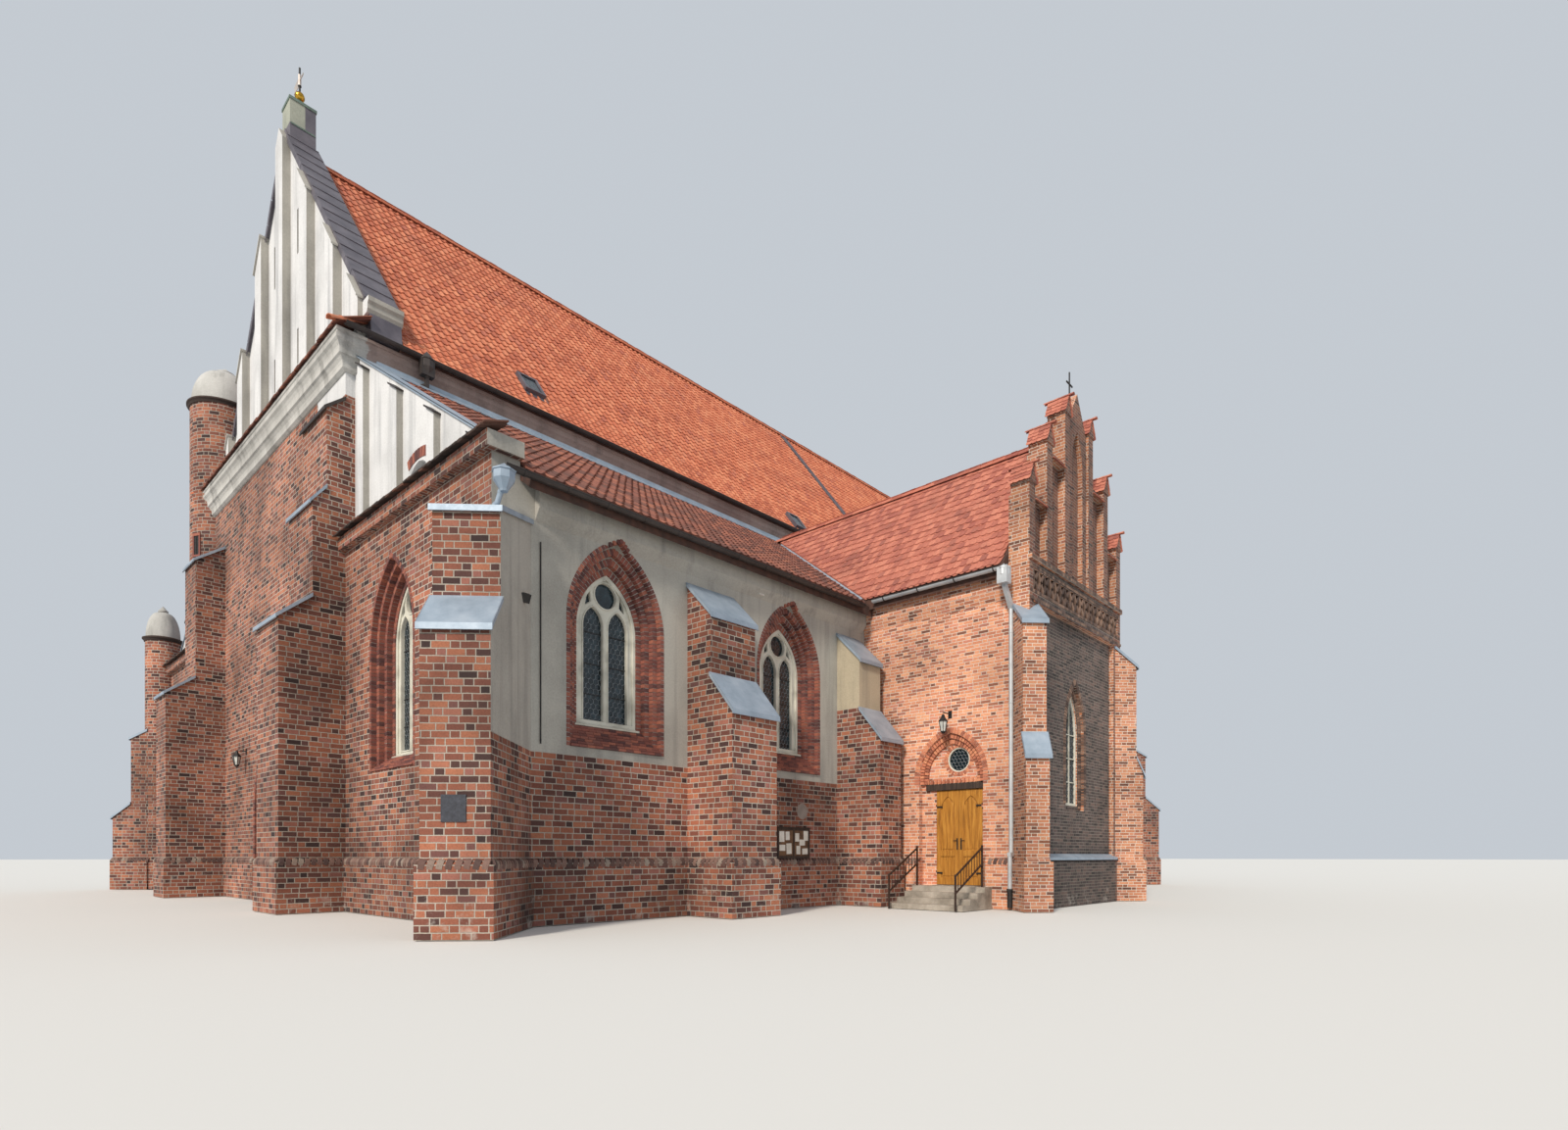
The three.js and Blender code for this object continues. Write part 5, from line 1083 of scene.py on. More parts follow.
# Small pitched sheets on the heads of the strips
bm = bmesh.new()
for middle, width in ((1.95, 0.6), (3.85, 0.56), (5.42, 0.54)):
    for side in (-1, 1):
        inner, outer = middle - width / 2 - 0.02, middle + width / 2 + 0.03
        low, high = (GABLE_APEX - GABLE_SLOPE * y for y in (outer, inner))
        turn = gable_section(side)
        prism(bm, [(inner, high - 0.03), (outer, low - 0.03), (outer, low + 0.02), (inner, high + 0.02)], turn,
            0.2, 0.46)
shown("gable_pilaster_caps", bm, WHITE)


def turned(bm, x, y, profile, sides=48):
    """A body turned on an upright axis from its radius and height at each step"""
    rings = []
    for radius, z in profile:
        spots = circle(x + WEST, y, radius, sides) if radius else [(x + WEST, y)]
        rings.append([bm.verts.new((*spot, z)) for spot in spots])
    for low, high in zip(rings, rings[1:]):
        for i in range(sides):
            j = (i + 1) % sides
            if len(low) == 1:
                bm.faces.new((low[0], high[j], high[i]))
            elif len(high) == 1:
                bm.faces.new((low[i], low[j], high[0]))
            else:
                bm.faces.new((low[i], low[j], high[j], high[i]))


FINIAL = (0.76, 0.0)
BALL_Z = 22.33
BALL_RADIUS = 0.125

# Gold leaf is warm and bright, dulled in cloudy patches
GILT = clouded("gold leaf on copper", (11.0, 4.0), [(0.35, "#8a6a26"), (0.55, "#c79a3a"), (0.75, "#e3bd5c")],
    0.3, 0.001, Metallic=1.0)

# A ball of beaten copper on a turned iron rod that runs on up to the vane
ball, rod = bmesh.new(), bmesh.new()
steps = 14
arc = [(BALL_RADIUS * math.sin(math.pi * i / steps), BALL_Z - BALL_RADIUS * math.cos(math.pi * i / steps))
    for i in range(1, steps)]
turned(ball, *FINIAL, [(0, BALL_Z - BALL_RADIUS)] + arc + [(0, BALL_Z + BALL_RADIUS)], 28)
turned(rod, *FINIAL, [(0, 21.951), (0.09, 21.951), (0.085, 22.0), (0.04, 22.03), (0.03, 22.1), (0.025, 22.2),
    (0.025, 22.6), (0.045, 22.62), (0.045, 22.64), (0.025, 22.64), (0.025, 23.14), (0, 23.15)], 16)
shown("gable_finial_ball", ball, GILT, replaces=("gable_finial",)).data.shade_smooth()
shown("gable_finial_rod", rod, DARK_IRON)
dress(zinc_look("tinned sheet iron", "#c9c1ba", "#958d88", "#b0a8a2"), "weather_vane")
COPPER = zinc_look("weathered copper", "#7f9086", "#56645c", "#6b7b71")

# A dark sheet cap over the pedestal, with a drip all round, and a skirt at its foot
bm = bmesh.new()
block(bm, (0.41, -0.34, 21.88), (1.09, 0.34, 21.955), at(WEST, 0, 0))
block(bm, (0.45, -0.335, 21.2), (1.05, 0.335, 21.24), at(WEST, 0, 0))
shown("gable_pedestal_cap", bm, COPPER, ease=0.012)

# Plain tiles in one slope from the gable's foot out over the west cornice
bm = bmesh.new()
block(bm, (-0.086, -0.44, 0.0), (0.086, 0.44, 0.022))
block(bm, (0.0, -0.41, 0.022), (0.17, 0.44, 0.044))
bmesh.ops.rotate(bm, verts=bm.verts, matrix=Matrix.Rotation(math.atan2(0.43, 0.76), 3, "X"))
lines = [[(WEST + 0.04, 5.93, 13.035), (WEST + 0.04, -5.93, 13.035)]]
kept(row_of("west_cornice_tiles", lines, mesh_of("tile", bm), OLD_TILE, 0.175, 0.03))
lines = [[(WEST - 0.36, side * 6.12, 12.86), (WEST + 0.42, side * 5.72, 13.3)] for side in (-1, 1)]
kept(row_of("west_cornice_hip_tiles", lines, ridge_tile(0.36, 0.09), NEW_TILE, 0.32, 0.03))

# Half gables over the aisles' west ends: brick plastered white, with flat strips, a thin
# zinc coping, a niche under a segmental brick head, and plain tiles on the band below.

HALF_TOP = 12.48
HALF_SLOPE = 0.655
HALF_END = 11.67
DOWN_TILE = loose_brick("dark plain tiles", [(0.0, "#2a2321"), (0.5, "#40332e"), (0.85, "#523f37"),
    (1.0, "#6b4639")])


def half_gable(y):
    """The height of the half gable's slope"""
    return HALF_TOP - HALF_SLOPE * (y - NAVE_HALF)


metal, dark = bmesh.new(), bmesh.new()
for side in (-1, 1):
    turn = gable_section(side)
    near, far = 5.72, HALF_END + 0.04
    for low, high, under in ((0.16, 0.56, 0.004), (0.16, 0.172, -0.03), (0.548, 0.56, -0.03)):
        prism(metal, [(near, half_gable(near) + under), (far, half_gable(far) + under),
            (far, half_gable(far) + 0.02), (near, half_gable(near) + 0.02)], turn, low, high)
    for middle in (6.35, 8.11, 9.8, 11.5):
        inner, outer = middle - 0.19, middle + 0.19
        prism(dark, [(inner, half_gable(inner) - 0.16), (outer, half_gable(outer) - 0.16),
            (outer, half_gable(outer) - 0.125), (inner, half_gable(inner) - 0.125)], turn, 0.03, 0.2)
shown("half_gable_copings", metal, ZINC)
shown("half_gable_strip_caps", dark, BROWN_SHEET)

# A segment of bricks on edge over each niche, showing through the plaster
places = []
radius, crown = 1.15, 9.02
for y in (-9.02, 9.02):
    turns = [math.radians(90 + 5.2 * i) for i in range(-4, 5)]
    stations = [(*polar(radius, a, 0, crown - radius), a) for a in turns]
    places += ring_bricks(window_place("west", 0, y), stations, 0.0, 0.2, 0.186, 0.15, 0.092)
kept(laid("half_gable_niche_heads", places, unit_brick(), WINDOW_BRICK, 0.02))

# Plain tiles side by side on the band, each lapped by the next
bm = bmesh.new()
block(bm, (-0.08, -0.25, 0.0), (0.08, 0.24, 0.024))
block(bm, (0.0, -0.21, 0.024), (0.16, 0.24, 0.048))
bmesh.ops.rotate(bm, verts=bm.verts, matrix=Matrix.Rotation(math.atan2(0.17, 0.44), 3, "X"))
lines = [[(WEST - 0.04, high, 8.33), (WEST - 0.04, low, 8.33)] for low, high in ((5.8, 12.4), (-12.4, -5.8))]
kept(row_of("half_gable_band_tiles", lines, mesh_of("tile", bm), DOWN_TILE, 0.168, 0.04))

# Buttress caps: zinc sheet bent over the brick slope, turned down at the front and the
# sides into a drip. The highest one on the west front is older and painted brown.

BUTTRESSES = [
    ((0, -4.9175), 180, 0.7825, [(1.31, 0.66, 6.35, 6.9), (0.66, 0.38, 9.0, 9.35)], False),
    ((0, 5.04), 180, 0.66, [(1.47, 0.75, 6.1, 6.65), (0.75, 0.0, 10.2, 10.75)], False),
    ((4.92, -12.3), -90, 0.64, [(1.33, 0.7, 4.15, 4.9), (0.7, 0.0, 6.15, 6.85)], False),
    ((9.69, -12.3), -90, 0.44, [(1.33, 0.7, 4.15, 4.9), (0.7, 0.0, 6.15, 6.85)], False),
    ((21.0, -12.3), -90, 0.5, [(1.33, 0.7, 4.15, 4.9), (0.7, 0.0, 6.15, 6.85)], False),
    ((0, -12.3), 225, 0.51, [(1.65, 1.18, 4.65, 5.15), (1.18, 0.0, 6.53, 6.88)], True),
    ((0, 12.3), 135, 0.51, [(1.65, 1.0, 2.7, 3.2), (1.0, 0.4, 5.6, 5.9)], False),
    ((29.2, -12.3), -45, 0.51, [(1.5, 0.9, 3.3, 3.8), (0.9, 0.0, 5.6, 6.1)], True),
    ((29.2, 12.3), 45, 0.51, [(1.5, 0.9, 3.3, 3.8), (0.9, 0.0, 5.6, 6.1)], True),
    ((10.4, -16.89), 225, 0.265, [(0.52, 0.33, 3.55, 3.95), (0.33, 0.0, 6.48, 6.75)], True),
    ((16.1, -16.89), -45, 0.265, [(0.52, 0.33, 3.55, 3.95), (0.33, 0.0, 6.48, 6.75)], True),
]
BUTTRESSES += [((x, 12.3), 90, 0.5, [(1.33, 0.7, 4.15, 4.9), (0.7, 0.0, 6.15, 6.85)], False)
    for x in NORTH_BUTTRESSES]


def sheet_cap(bm, corner, heading, half, stage, notched):
    """One sheet over a stage's slope; notched, it runs back on both sides of a wall's corner"""
    outer, inner, low, high = stage
    fall = (high - low) / (outer - inner)
    place = at(corner[0] + WEST, corner[1], 0) @ spun(heading, "Z")
    wide, front = half + 0.04, outer + 0.055
    back = -wide if notched else inner
    outline = [(front, -wide), (front, wide), (back, wide)] + ([(0, 0)] if notched else []) + [(back, -wide)]
    skin(bm, [[place @ Vector((s, t, low + fall * (outer - s) + rise)) for s, t in outline]
        for rise in (0.004, 0.024)])
    edge = [(s, low + fall * (outer - s)) for s in (front, back)]
    hem = [(s, z - 0.06) for s, z in edge] + [(s, z + 0.024) for s, z in edge[::-1]]
    for low, high in ((wide - 0.01, wide + 0.003), (-wide - 0.003, 0.01 - wide)):
        prism(bm, hem, place @ Matrix(((1, 0, 0, 0), (0, 0, 1, 0), (0, 1, 0, 0), (0, 0, 0, 1))), low, high)
    foot = edge[0][1]
    block(bm, (front - 0.009, -wide - 0.002, foot - 0.08), (front + 0.004, wide + 0.002, foot + 0.022), place)
    block(bm, (front + 0.002, -wide, foot - 0.079), (front + 0.022, wide, foot - 0.069), place)


caps, old = bmesh.new(), bmesh.new()
for corner, heading, half, stages, notched in BUTTRESSES:
    for stage in stages:
        sheet_cap(caps, corner, heading, half, stage, notched and stage[1] == 0.0)
sheet_cap(old, (0, -4.9175), 180, 0.7825, (0.38, 0.0, 11.1, 11.42), False)
shown("buttress_caps", caps, ZINC)
shown("old_buttress_cap", old, BROWN_SHEET)

# Stair turrets: round brick shafts under plastered brick domes with a small knob, grey with
# lichen; a course of dark tiles makes the drip between them.

TURRETS = [("stair_turret", *STAIR_TURRET, 0.95, 15.7, 17.25), ("aisle_turret", -0.15, 12.45, 0.54, 9.25, 10.6)]
DOME_PLASTER, tree = new_material("lichened lime plaster")
finish(tree, plaster_look(tree, "#bdbdba", "#9d9d99", "#767673"), 0.92, 0.01)


def smoothed(piece):
    """Rounds a turned body's facets for the eye and keeps its edges sharp"""
    piece.data.shade_smooth()
    piece.data.set_sharp_from_angle(angle=math.radians(35))


def turret_brick(name, x, y, radius):
    material, tree = new_material("old brick of the " + name.replace("_", " "))
    finish(tree, brick_look(tree, OLD_TONES, LIME_MORTAR, round_tower(tree, x + WEST, y, radius)), 0.9, 0.007)
    return material


for name, x, y, radius, ring, top in TURRETS:
    shaft, rim, dome = bmesh.new(), bmesh.new(), bmesh.new()
    turned(shaft, x, y, [(0, 0.02), (radius, 0.02), (radius, ring), (0, ring)], 96)
    turned(rim, x, y, [(0, ring - 0.05), (radius + 0.03, ring - 0.05), (radius + 0.05, ring + 0.01),
        (radius + 0.09, ring + 0.04), (radius + 0.09, ring + 0.085), (radius, ring + 0.12), (0, ring + 0.12)],
        96)
    foot, neck, knob = ring + 0.1, top - 0.26, 0.22 * radius
    arc = [(knob + (0.97 * radius - knob) * math.cos(a) ** 0.85, foot + (neck - foot) * math.sin(a))
        for a in [math.radians(7.5 * i) for i in range(12)]]
    turned(dome, x, y, [(0, foot)] + arc + [
        (knob, neck), (knob * 1.3, neck + 0.03), (knob * 1.3, neck + 0.08), (knob, neck + 0.11),
        (knob * 0.55, neck + 0.18), (0, top)], 72)
    smoothed(shown(name + "_shaft", shaft, turret_brick(name, x, y, radius), replaces=(name,)))
    smoothed(shown(name + "_rim", rim, DOWN_TILE))
    smoothed(shown(name + "_dome", dome, DOME_PLASTER))

# A little barred opening for the stair, in a frame of cut bricks; its dark inside is a black iron slab flush with
# the shaft, painted shade
bricks, dark = bmesh.new(), bmesh.new()
for z in (11.1, 5.6):
    place = at(STAIR_TURRET[0] + WEST, STAIR_TURRET[1], z) @ spun(205, "Z")
    for low, high in (((0.9, -0.16, -0.3), (0.965, -0.1, 0.3)), ((0.9, 0.1, -0.3), (0.965, 0.16, 0.3)),
            ((0.9, -0.16, 0.3), (0.97, 0.16, 0.38)), ((0.9, -0.16, -0.36), (0.97, 0.16, -0.3))):
        block(bricks, low, high, place)
    block(dark, (0.9, -0.1, -0.3), (0.951, 0.1, 0.3), place)
    block(dark, (0.951, -0.007, -0.3), (0.962, 0.007, 0.3), place)
shown("turret_light_surrounds", bricks, WINDOW_BRICK)
shown("turret_lights", dark, DARK_IRON)

# Porch walls: machine-pressed brick in thin joints, salmon to pink. The sunk panel of the
# south front is laid in dark clinker; the cross on the peak is forged iron.

WALL_TONES = [(0.0, "#6e4739"), (0.1, "#965f49"), (0.28, "#bf7b5e"), (0.55, "#d38e6b"), (0.8, "#dfa07b"),
    (0.93, "#ca846c"), (1.0, "#996354")]
CORNER_TONES = [(0.0, "#5e3e34"), (0.1, "#83533e"), (0.28, "#a86b4e"), (0.55, "#bc7d5c"), (0.8, "#c98d6b"),
    (0.93, "#b3735c"), (1.0, "#825646")]
PIER_TONES = [(0.0, "#5f3f35"), (0.1, "#83553f"), (0.28, "#a3684c"), (0.55, "#b87a58"), (0.8, "#c48864"),
    (0.93, "#a86c57"), (1.0, "#7b5040")]
# The south faces get browner tones than the sides of the same piers: painted shade
PAINTED_SHADE_TONES = [(0.0, "#473431"), (0.15, "#644038"), (0.4, "#7c5043"), (0.75, "#8e5f4b"), (1.0, "#6c493f")]
PORCH_MORTAR = "#d8cfc2"
CLINKER_TONES = [(0.0, "#383130"), (0.3, "#4e4341"), (0.7, "#60514e"), (1.0, "#755f57")]
PORCH_SIZES = {"Course": 0.075, "Stretcher": 0.25, "Header": 0.12, "Joint": 0.011, "Waver": 0.004}
PORCH_FACE = -16.89


def porch_brick(name, tones):
    material, tree = new_material(name)
    finish(tree, brick_look(tree, tones, PORCH_MORTAR, soot=0.72, **PORCH_SIZES), 0.85, 0.004)
    return material


dress(porch_brick("pressed salmon brick", WALL_TONES), "porch_west_wall_north", "porch_west_wall_south",
    "porch_doorway_head", "porch_east_wall", "porch_inner_arch")
dress(porch_brick("pressed brick of the corners", CORNER_TONES), "porch_buttress_west", "porch_buttress_east")

# Clinker in the gable's sunk panel, and black iron above its peak
material, tree = new_material("salmon brick with a clinker panel")
# The other faces that look south get browner brick and darker mortar: painted shade
south = mask = facing(tree, (0, -1, 0))
for direction, level in (((1, 0, 0), WEST + 10.91), ((-1, 0, 0), -WEST - 15.59), ((0, 0, -1), -8.06)):
    mask = add(tree, "Math", (mask, past(tree, direction, level, 0.0)), "MULTIPLY")
shade = covered(tree, south, brick_look(tree, PIER_TONES, PORCH_MORTAR, soot=0.66, **PORCH_SIZES),
    brick_look(tree, PAINTED_SHADE_TONES, "#9b9084", soot=0.66, **PORCH_SIZES))
shade = covered(tree, mask, shade, brick_look(tree, CLINKER_TONES, "#8b8379", soot=0.6, **PORCH_SIZES))
finish(tree, covered(tree, past(tree, UP, 12.9, 0.0), shade, (srgb("#252424"), 0.5)), 0.85, 0.004)
dress(material, "porch_south_gable")
# Dark brown bricks for the frieze, the header rows and the lancet's rings, all on faces that look south
LOOSE_BROWN = loose_brick("dark brown brick", [(0.0, "#483a35"), (0.5, "#6d574c"), (1.0, "#8d7262")])
LOOSE_SALMON = loose_brick("salmon facing brick", [(0.0, "#8e5846"), (0.3, "#b26d54"), (0.7, "#c67f61"),
    (1.0, "#d3916d")], 0.85, 0.002)
# Near-black for the back of the frieze's hollow: soot and painted shade
SOOT_AND_PAINTED_SHADE = plain_look("sooted brick in shadow", "#231d1b", "#382c28", 0.95)

# Cut bricks set crosswise make a row of small crosses in front of a hollow; its near-black back is soot and
# painted shade
bm = bmesh.new()
count = 18
step = 5.3 / count
tilt = math.atan2(0.46, step)
half = math.hypot(0.46, step) / 2 - 0.02
for i in range(count):
    middle = at(WEST + 10.6 + step * (i + 0.5), PORCH_FACE + 0.055, 7.53)
    for turn in (tilt, -tilt):
        block(bm, (-half, -0.045, -0.033), (half, 0.045, 0.033), middle @ Matrix.Rotation(turn, 4, "Y"))
shown("porch_frieze", bm, LOOSE_BROWN)
back = bmesh.new()
block(back, (WEST + 10.61, PORCH_FACE + 0.1, 7.305), (WEST + 15.89, PORCH_FACE + 0.112, 7.755))
shown("porch_frieze_hollow", back, SOOT_AND_PAINTED_SHADE)

# Rows of headers on the ledges and corbels, each a little proud of its joint
bm = bmesh.new()
block(bm, (-0.052, -0.03, 0.0), (0.052, 0.03, 0.066))
lines = []
for z, out in ((7.96, 0.062), (7.03, 0.042), (7.78, 0.008), (7.22, 0.008)):
    y = PORCH_FACE - out + 0.03
    lines.append([(WEST + 10.5, y, z), (WEST + 16.0, y, z)])
kept(row_of("porch_header_rows", lines, mesh_of("header", bm), LOOSE_BROWN, 0.117, 0.01))

# Sheet over the sloping sill below the sunk panel
bm = bmesh.new()
prism(bm, [(-16.99, 1.13), (-16.975, 1.13), (-16.975, 1.17), (-16.76, 1.26), (-16.76, 1.285), (-16.99, 1.19)],
    gable_section(1), 10.86, 15.64)
shown("porch_panel_ledge", bm, ZINC)

# Porch roof: plain clay tiles with rounded tails laid double on each batten, pinkish red,
# half round ridge tiles, and a valley of zinc where it runs into the aisle's roof.

PORCH_TILE = clay_tile("pinkish red plain tile", [(0.0, "#9b584c"), (0.3, "#af6957"), (0.65, "#bc7460"),
    (0.9, "#c57e68"), (1.0, "#91554a")], "#814e43")
TAIL_GAUGE = 0.284
TAIL_WIDE = 0.175
TAIL_LONG = 0.38
TAIL_THICK = 0.014


def beaver_tail():
    """A plain tile with a rounded foot, tipped up on the one below"""
    bm = bmesh.new()
    half = TAIL_WIDE / 2 - 0.002
    foot = [(-half * math.cos(a), 0.07 - 0.07 * math.sin(a)) for a in [math.pi * i / 6 for i in range(7)]]
    outline = foot + [(half, TAIL_LONG), (-half, TAIL_LONG)]
    skin(bm, [[(x, y, rise + 0.03 * (1 - y / TAIL_LONG)) for x, y in outline] for rise in (0.0, TAIL_THICK)])
    return mesh_of("beaver tail", bm)


def under_aisle(place):
    """Whether a tile of the porch would lie wholly below the aisle's roof"""
    return place.z < AISLE_EAVE_TOP + AISLE_PITCH * (AISLE_EAVE + place.y) - 0.45


PORCH_HALF = 3.15
run = math.hypot(1, PORCH_PITCH)
rows = [TAIL_GAUGE * i for i in range(int((PORCH_HALF * run - 0.2) / TAIL_GAUGE) + 1)]
eave = PORCH_RIDGE - PORCH_PITCH * PORCH_HALF
columns = round(10.4 / TAIL_WIDE)
for side, name in ((-1, "west"), (1, "east")):
    up = Vector((-side, 0, PORCH_PITCH)) / run
    start = -5.99 if side < 0 else -16.39
    corner = Vector((WEST + PORCH_MIDDLE + side * PORCH_HALF, start, eave))
    slope = slope_frame(corner, Vector((0, side, 0)), up)
    places = tile_places(slope, columns, TAIL_WIDE, rows, 40 + side, under_aisle)
    over = slope @ at(TAIL_WIDE / 2, 0.035, 0.015)
    places += tile_places(over, columns - 1, TAIL_WIDE, rows, 50 + side, under_aisle)
    tiles = laid("porch_roof_tiles_" + name, places, beaver_tail(), PORCH_TILE, 0.012)
    kept(cut_at_valleys(tiles, 1))
dress(UNDER_TILES, "porch_roof")
line = [(WEST + PORCH_MIDDLE, -16.2, PORCH_RIDGE + 0.05), (WEST + PORCH_MIDDLE, -6.7, PORCH_RIDGE + 0.05)]
kept(row_of("porch_ridge_tiles", [line], ridge_tile(), PORCH_TILE, 0.36, 0.01))

# Zinc gutters laid in the two valleys, a strip on each roof slope
bm = bmesh.new()
for side in (-1, 1):
    ends = [valley_point(side * out) for out in (3.1, 0.15)]
    along = (ends[1] - ends[0]).normalized()
    for slope in (Vector((side * PORCH_PITCH, 0, 1)), Vector((0, -AISLE_PITCH, 1))):
        normal = slope.normalized()
        across = along.cross(normal)
        if (across.y < 0) != (slope.x != 0):
            across.negate()
        frame_here = Matrix((along, across, normal)).transposed().to_4x4()
        frame_here.translation = ends[0]
        block(bm, (0, 0, 0.01), ((ends[1] - ends[0]).length, 0.16, 0.022), frame_here)
shown("porch_valleys", bm, ZINC)

# Porch gable: brick piers with little tiled saddle roofs, tiled steps between them, and a
# taller block over the middle with a narrow niche.

GABLE_PIERS = [(10.4, 9.7, 10.15), (11.33, 10.95, 11.4), (12.37, 12.05, 12.5), (13.83, 12.05, 12.5),
    (14.87, 10.95, 11.4), (15.8, 9.7, 10.15)]


def saddle_places(low_x, high_x, low_y, high_y, eave, ridge, seed):
    """Small tiles on both slopes of a saddle roof whose ridge runs north"""
    middle, half = (low_x + high_x) / 2, (high_x - low_x) / 2
    places = []
    for side in (-1, 1):
        up = Vector((-side * half, 0, ridge - eave))
        corner = Vector((WEST + middle + side * half, high_y if side < 0 else low_y, eave))
        slope = slope_frame(corner, Vector((0, side, 0)), up.normalized())
        count = max(1, round((high_y - low_y) / 0.13))
        wide = (high_y - low_y) / count
        rows = [0.105 * i - 0.02 for i in range(int(up.length / 0.105))]
        for place in tile_places(slope, count, wide, rows, seed):
            places.append(place @ sized(wide / TAIL_WIDE, 0.45, 0.8))
    return places


places, ridges = [], []
for number, (x, eave, ridge) in enumerate(GABLE_PIERS):
    places += saddle_places(x - 0.05, x + 0.35, -16.94, -16.4, eave, ridge, 60 + number)
    ridges.append([(WEST + x + 0.15, -16.95, ridge + 0.02), (WEST + x + 0.15, -16.39, ridge + 0.02)])
kept(laid("porch_gable_tiles", places, beaver_tail(), PORCH_TILE, 0.02))
kept(row_of("porch_gable_ridges", ridges, ridge_tile(0.2, 0.055), PORCH_TILE, 0.17, 0.02))

# Three courses of tiles on the sloping heads of the steps between the piers
places = []
for low, high, top in ((10.7, 11.33, 9.45), (11.63, 12.37, 10.75), (14.13, 14.87, 10.75), (15.17, 15.8, 9.45)):
    count = round((high - low) / 0.12)
    wide = (high - low) / count
    for row in range(3):
        for i in range(count):
            spot = Vector((WEST + low + wide * (i + 0.5), -16.93 + 0.11 * row, top - 0.14 + 0.065 * row))
            slope = slope_frame(spot, Vector((1, 0, 0)), Vector((0, 0.86, 0.51)))
            places.append(slope @ sized(wide / TAIL_WIDE, 0.5, 1))
kept(laid("porch_step_tiles", places, beaver_tail(), PORCH_TILE, 0.02))

# Porch lancet: a pointed slot within two rings of bricks on edge, and a painted oak frame
# with hexagonal leading, set deep in the wall.

LANCET = window_place("south", PORCH_MIDDLE, -16.77)

# The outer ring is flush with the wall and starts above the sill, the inner one is set back
stations = [s for s in arch_stations(0.57, 2.38, 4.3, 5.55, 0.074) if s[1] > 2.5]
places = ring_bricks(LANCET, stations, -0.004, 0.13, -0.012, 0.12, 0.062)
stations = arch_stations(0.47, 2.44, 4.3, 5.42, 0.074)
places += ring_bricks(LANCET, stations, -0.004, 0.104, 0.07, 0.05, 0.062)
kept(laid("porch_lancet_ring", places, unit_brick(), LOOSE_BROWN, 0.008))

# The frame, its upright and three cross bars, all painted
bm = bmesh.new()
panel(bm, LANCET, 0.165, arch_outline(0.41, 2.5, 4.3, 5.36), [arch_outline(0.345, 2.57, 4.3, 5.26)], 0.05, 0.006)
block(bm, (-0.016, 0.145, 2.55), (0.016, 0.185, 5.3), LANCET)
for z in (3.1, 3.7, 4.3):
    block(bm, (-0.36, 0.15, z - 0.012), (0.36, 0.18, z + 0.012), LANCET)
shown("porch_lancet_frame", bm, WINDOW_PAINT)
dress(GLASS, "porch_window", "porch_round_window")
kept(laid("porch_lancet_leading", came_places(LANCET, hexagon_cames(arch_outline(0.34, 2.58, 4.3, 5.25), 0.06),
    0.174, 0.01), came_unit(), LEAD))

# Doorway: a shallow pointed recess with rings of bricks on edge, a round window in leading
# over a row of small corbels and a dark oak lintel.

RECESS = window_place("west", 10.4, -14.87)
OCULUS = window_place("west", 10.4, -15.02)

# Three rings over the recess, one round the window, and the corbels
places = []
for grow, front, wide in ((0.0, -0.012, 0.13), (-0.1, 0.045, 0.108), (-0.2, 0.09, 0.108)):
    outline = (0.875 + grow, 0.6, 3.15, 4.21 + 1.25 * grow)
    stations = [s for s in arch_stations(*outline, 0.074) if s[1] > 3.0]
    places += ring_bricks(RECESS, stations, -0.002, wide, front, 0.16 - front, 0.062)
turns = [2 * math.pi * (i + 0.5) / 26 for i in range(26)]
ring = [(*polar(0.3, a, 0, 3.56), a) for a in turns]
places += ring_bricks(OCULUS, ring, 0.0, 0.1, 0.142, 0.05, 0.06)
for i in range(15):
    spot = at(-0.72 + 0.11 * i, 0.1, 3.0) @ sized(0.062, 0.06, 0.1)
    places.append(RECESS @ spot @ at(0, 0, 0.5))
kept(laid("doorway_rings", places, unit_brick(), LOOSE_SALMON, 0.008))

bm = bmesh.new()
panel(bm, OCULUS, 0.175, circle(0, 3.56, 0.3), [circle(0, 3.56, 0.265)], 0.04, 0.006)
shown("doorway_window_frame", bm, WINDOW_PAINT)
ends = hexagon_cames(circle(0, 3.56, 0.265), 0.055)
kept(laid("doorway_window_leading", came_places(OCULUS, ends, 0.195, 0.01), came_unit(), LEAD))


def grained(name, light, middle, dark, roughness, coat=0.0):
    """Sawn wood seen along its grain, which runs upwards; varnish adds a soft shine"""
    material, tree = new_material(name)
    place = add(tree, "TexCoord", out="Object")
    drawn = add(tree, "VectorMath", (place, (9, 9, 0.55)), "MULTIPLY")
    bend = add(tree, "TexNoise", {"Vector": place, "Scale": 1.6, "Detail": 2.0}, out="Color")
    drawn = add(tree, "VectorMath", (bend, (0.5, 0.5, 0.1), drawn), "MULTIPLY_ADD")
    grain = add(tree, "TexNoise", {"Vector": drawn, "Scale": 3.0, "Detail": 5.0, "Roughness": 0.6})
    colour = add(tree, "ValToRGB", (grain,), stops=[(0.32, dark), (0.5, middle), (0.68, light)])
    own = {"Coat Weight": coat, "Coat Roughness": 0.25} if coat else {}
    finish(tree, (colour, grain), roughness, 0.001, **own)
    return material


HONEY_WOOD = grained("varnished larch", "#c48f42", "#ac752e", "#825622", 0.4, 0.3)
DARK_WOOD = grained("weathered dark oak", "#4a3a30", "#382b24", "#261d19", 0.7)
dress(DARK_WOOD, "door_lintel", "west_door")
LEAVES = [("north", -14.406, -15.0225), ("south", -15.649, -15.0325)]
LEAF_LOW = 0.528
LEAF_HIGH = 2.832
HINGE_X = 10.53

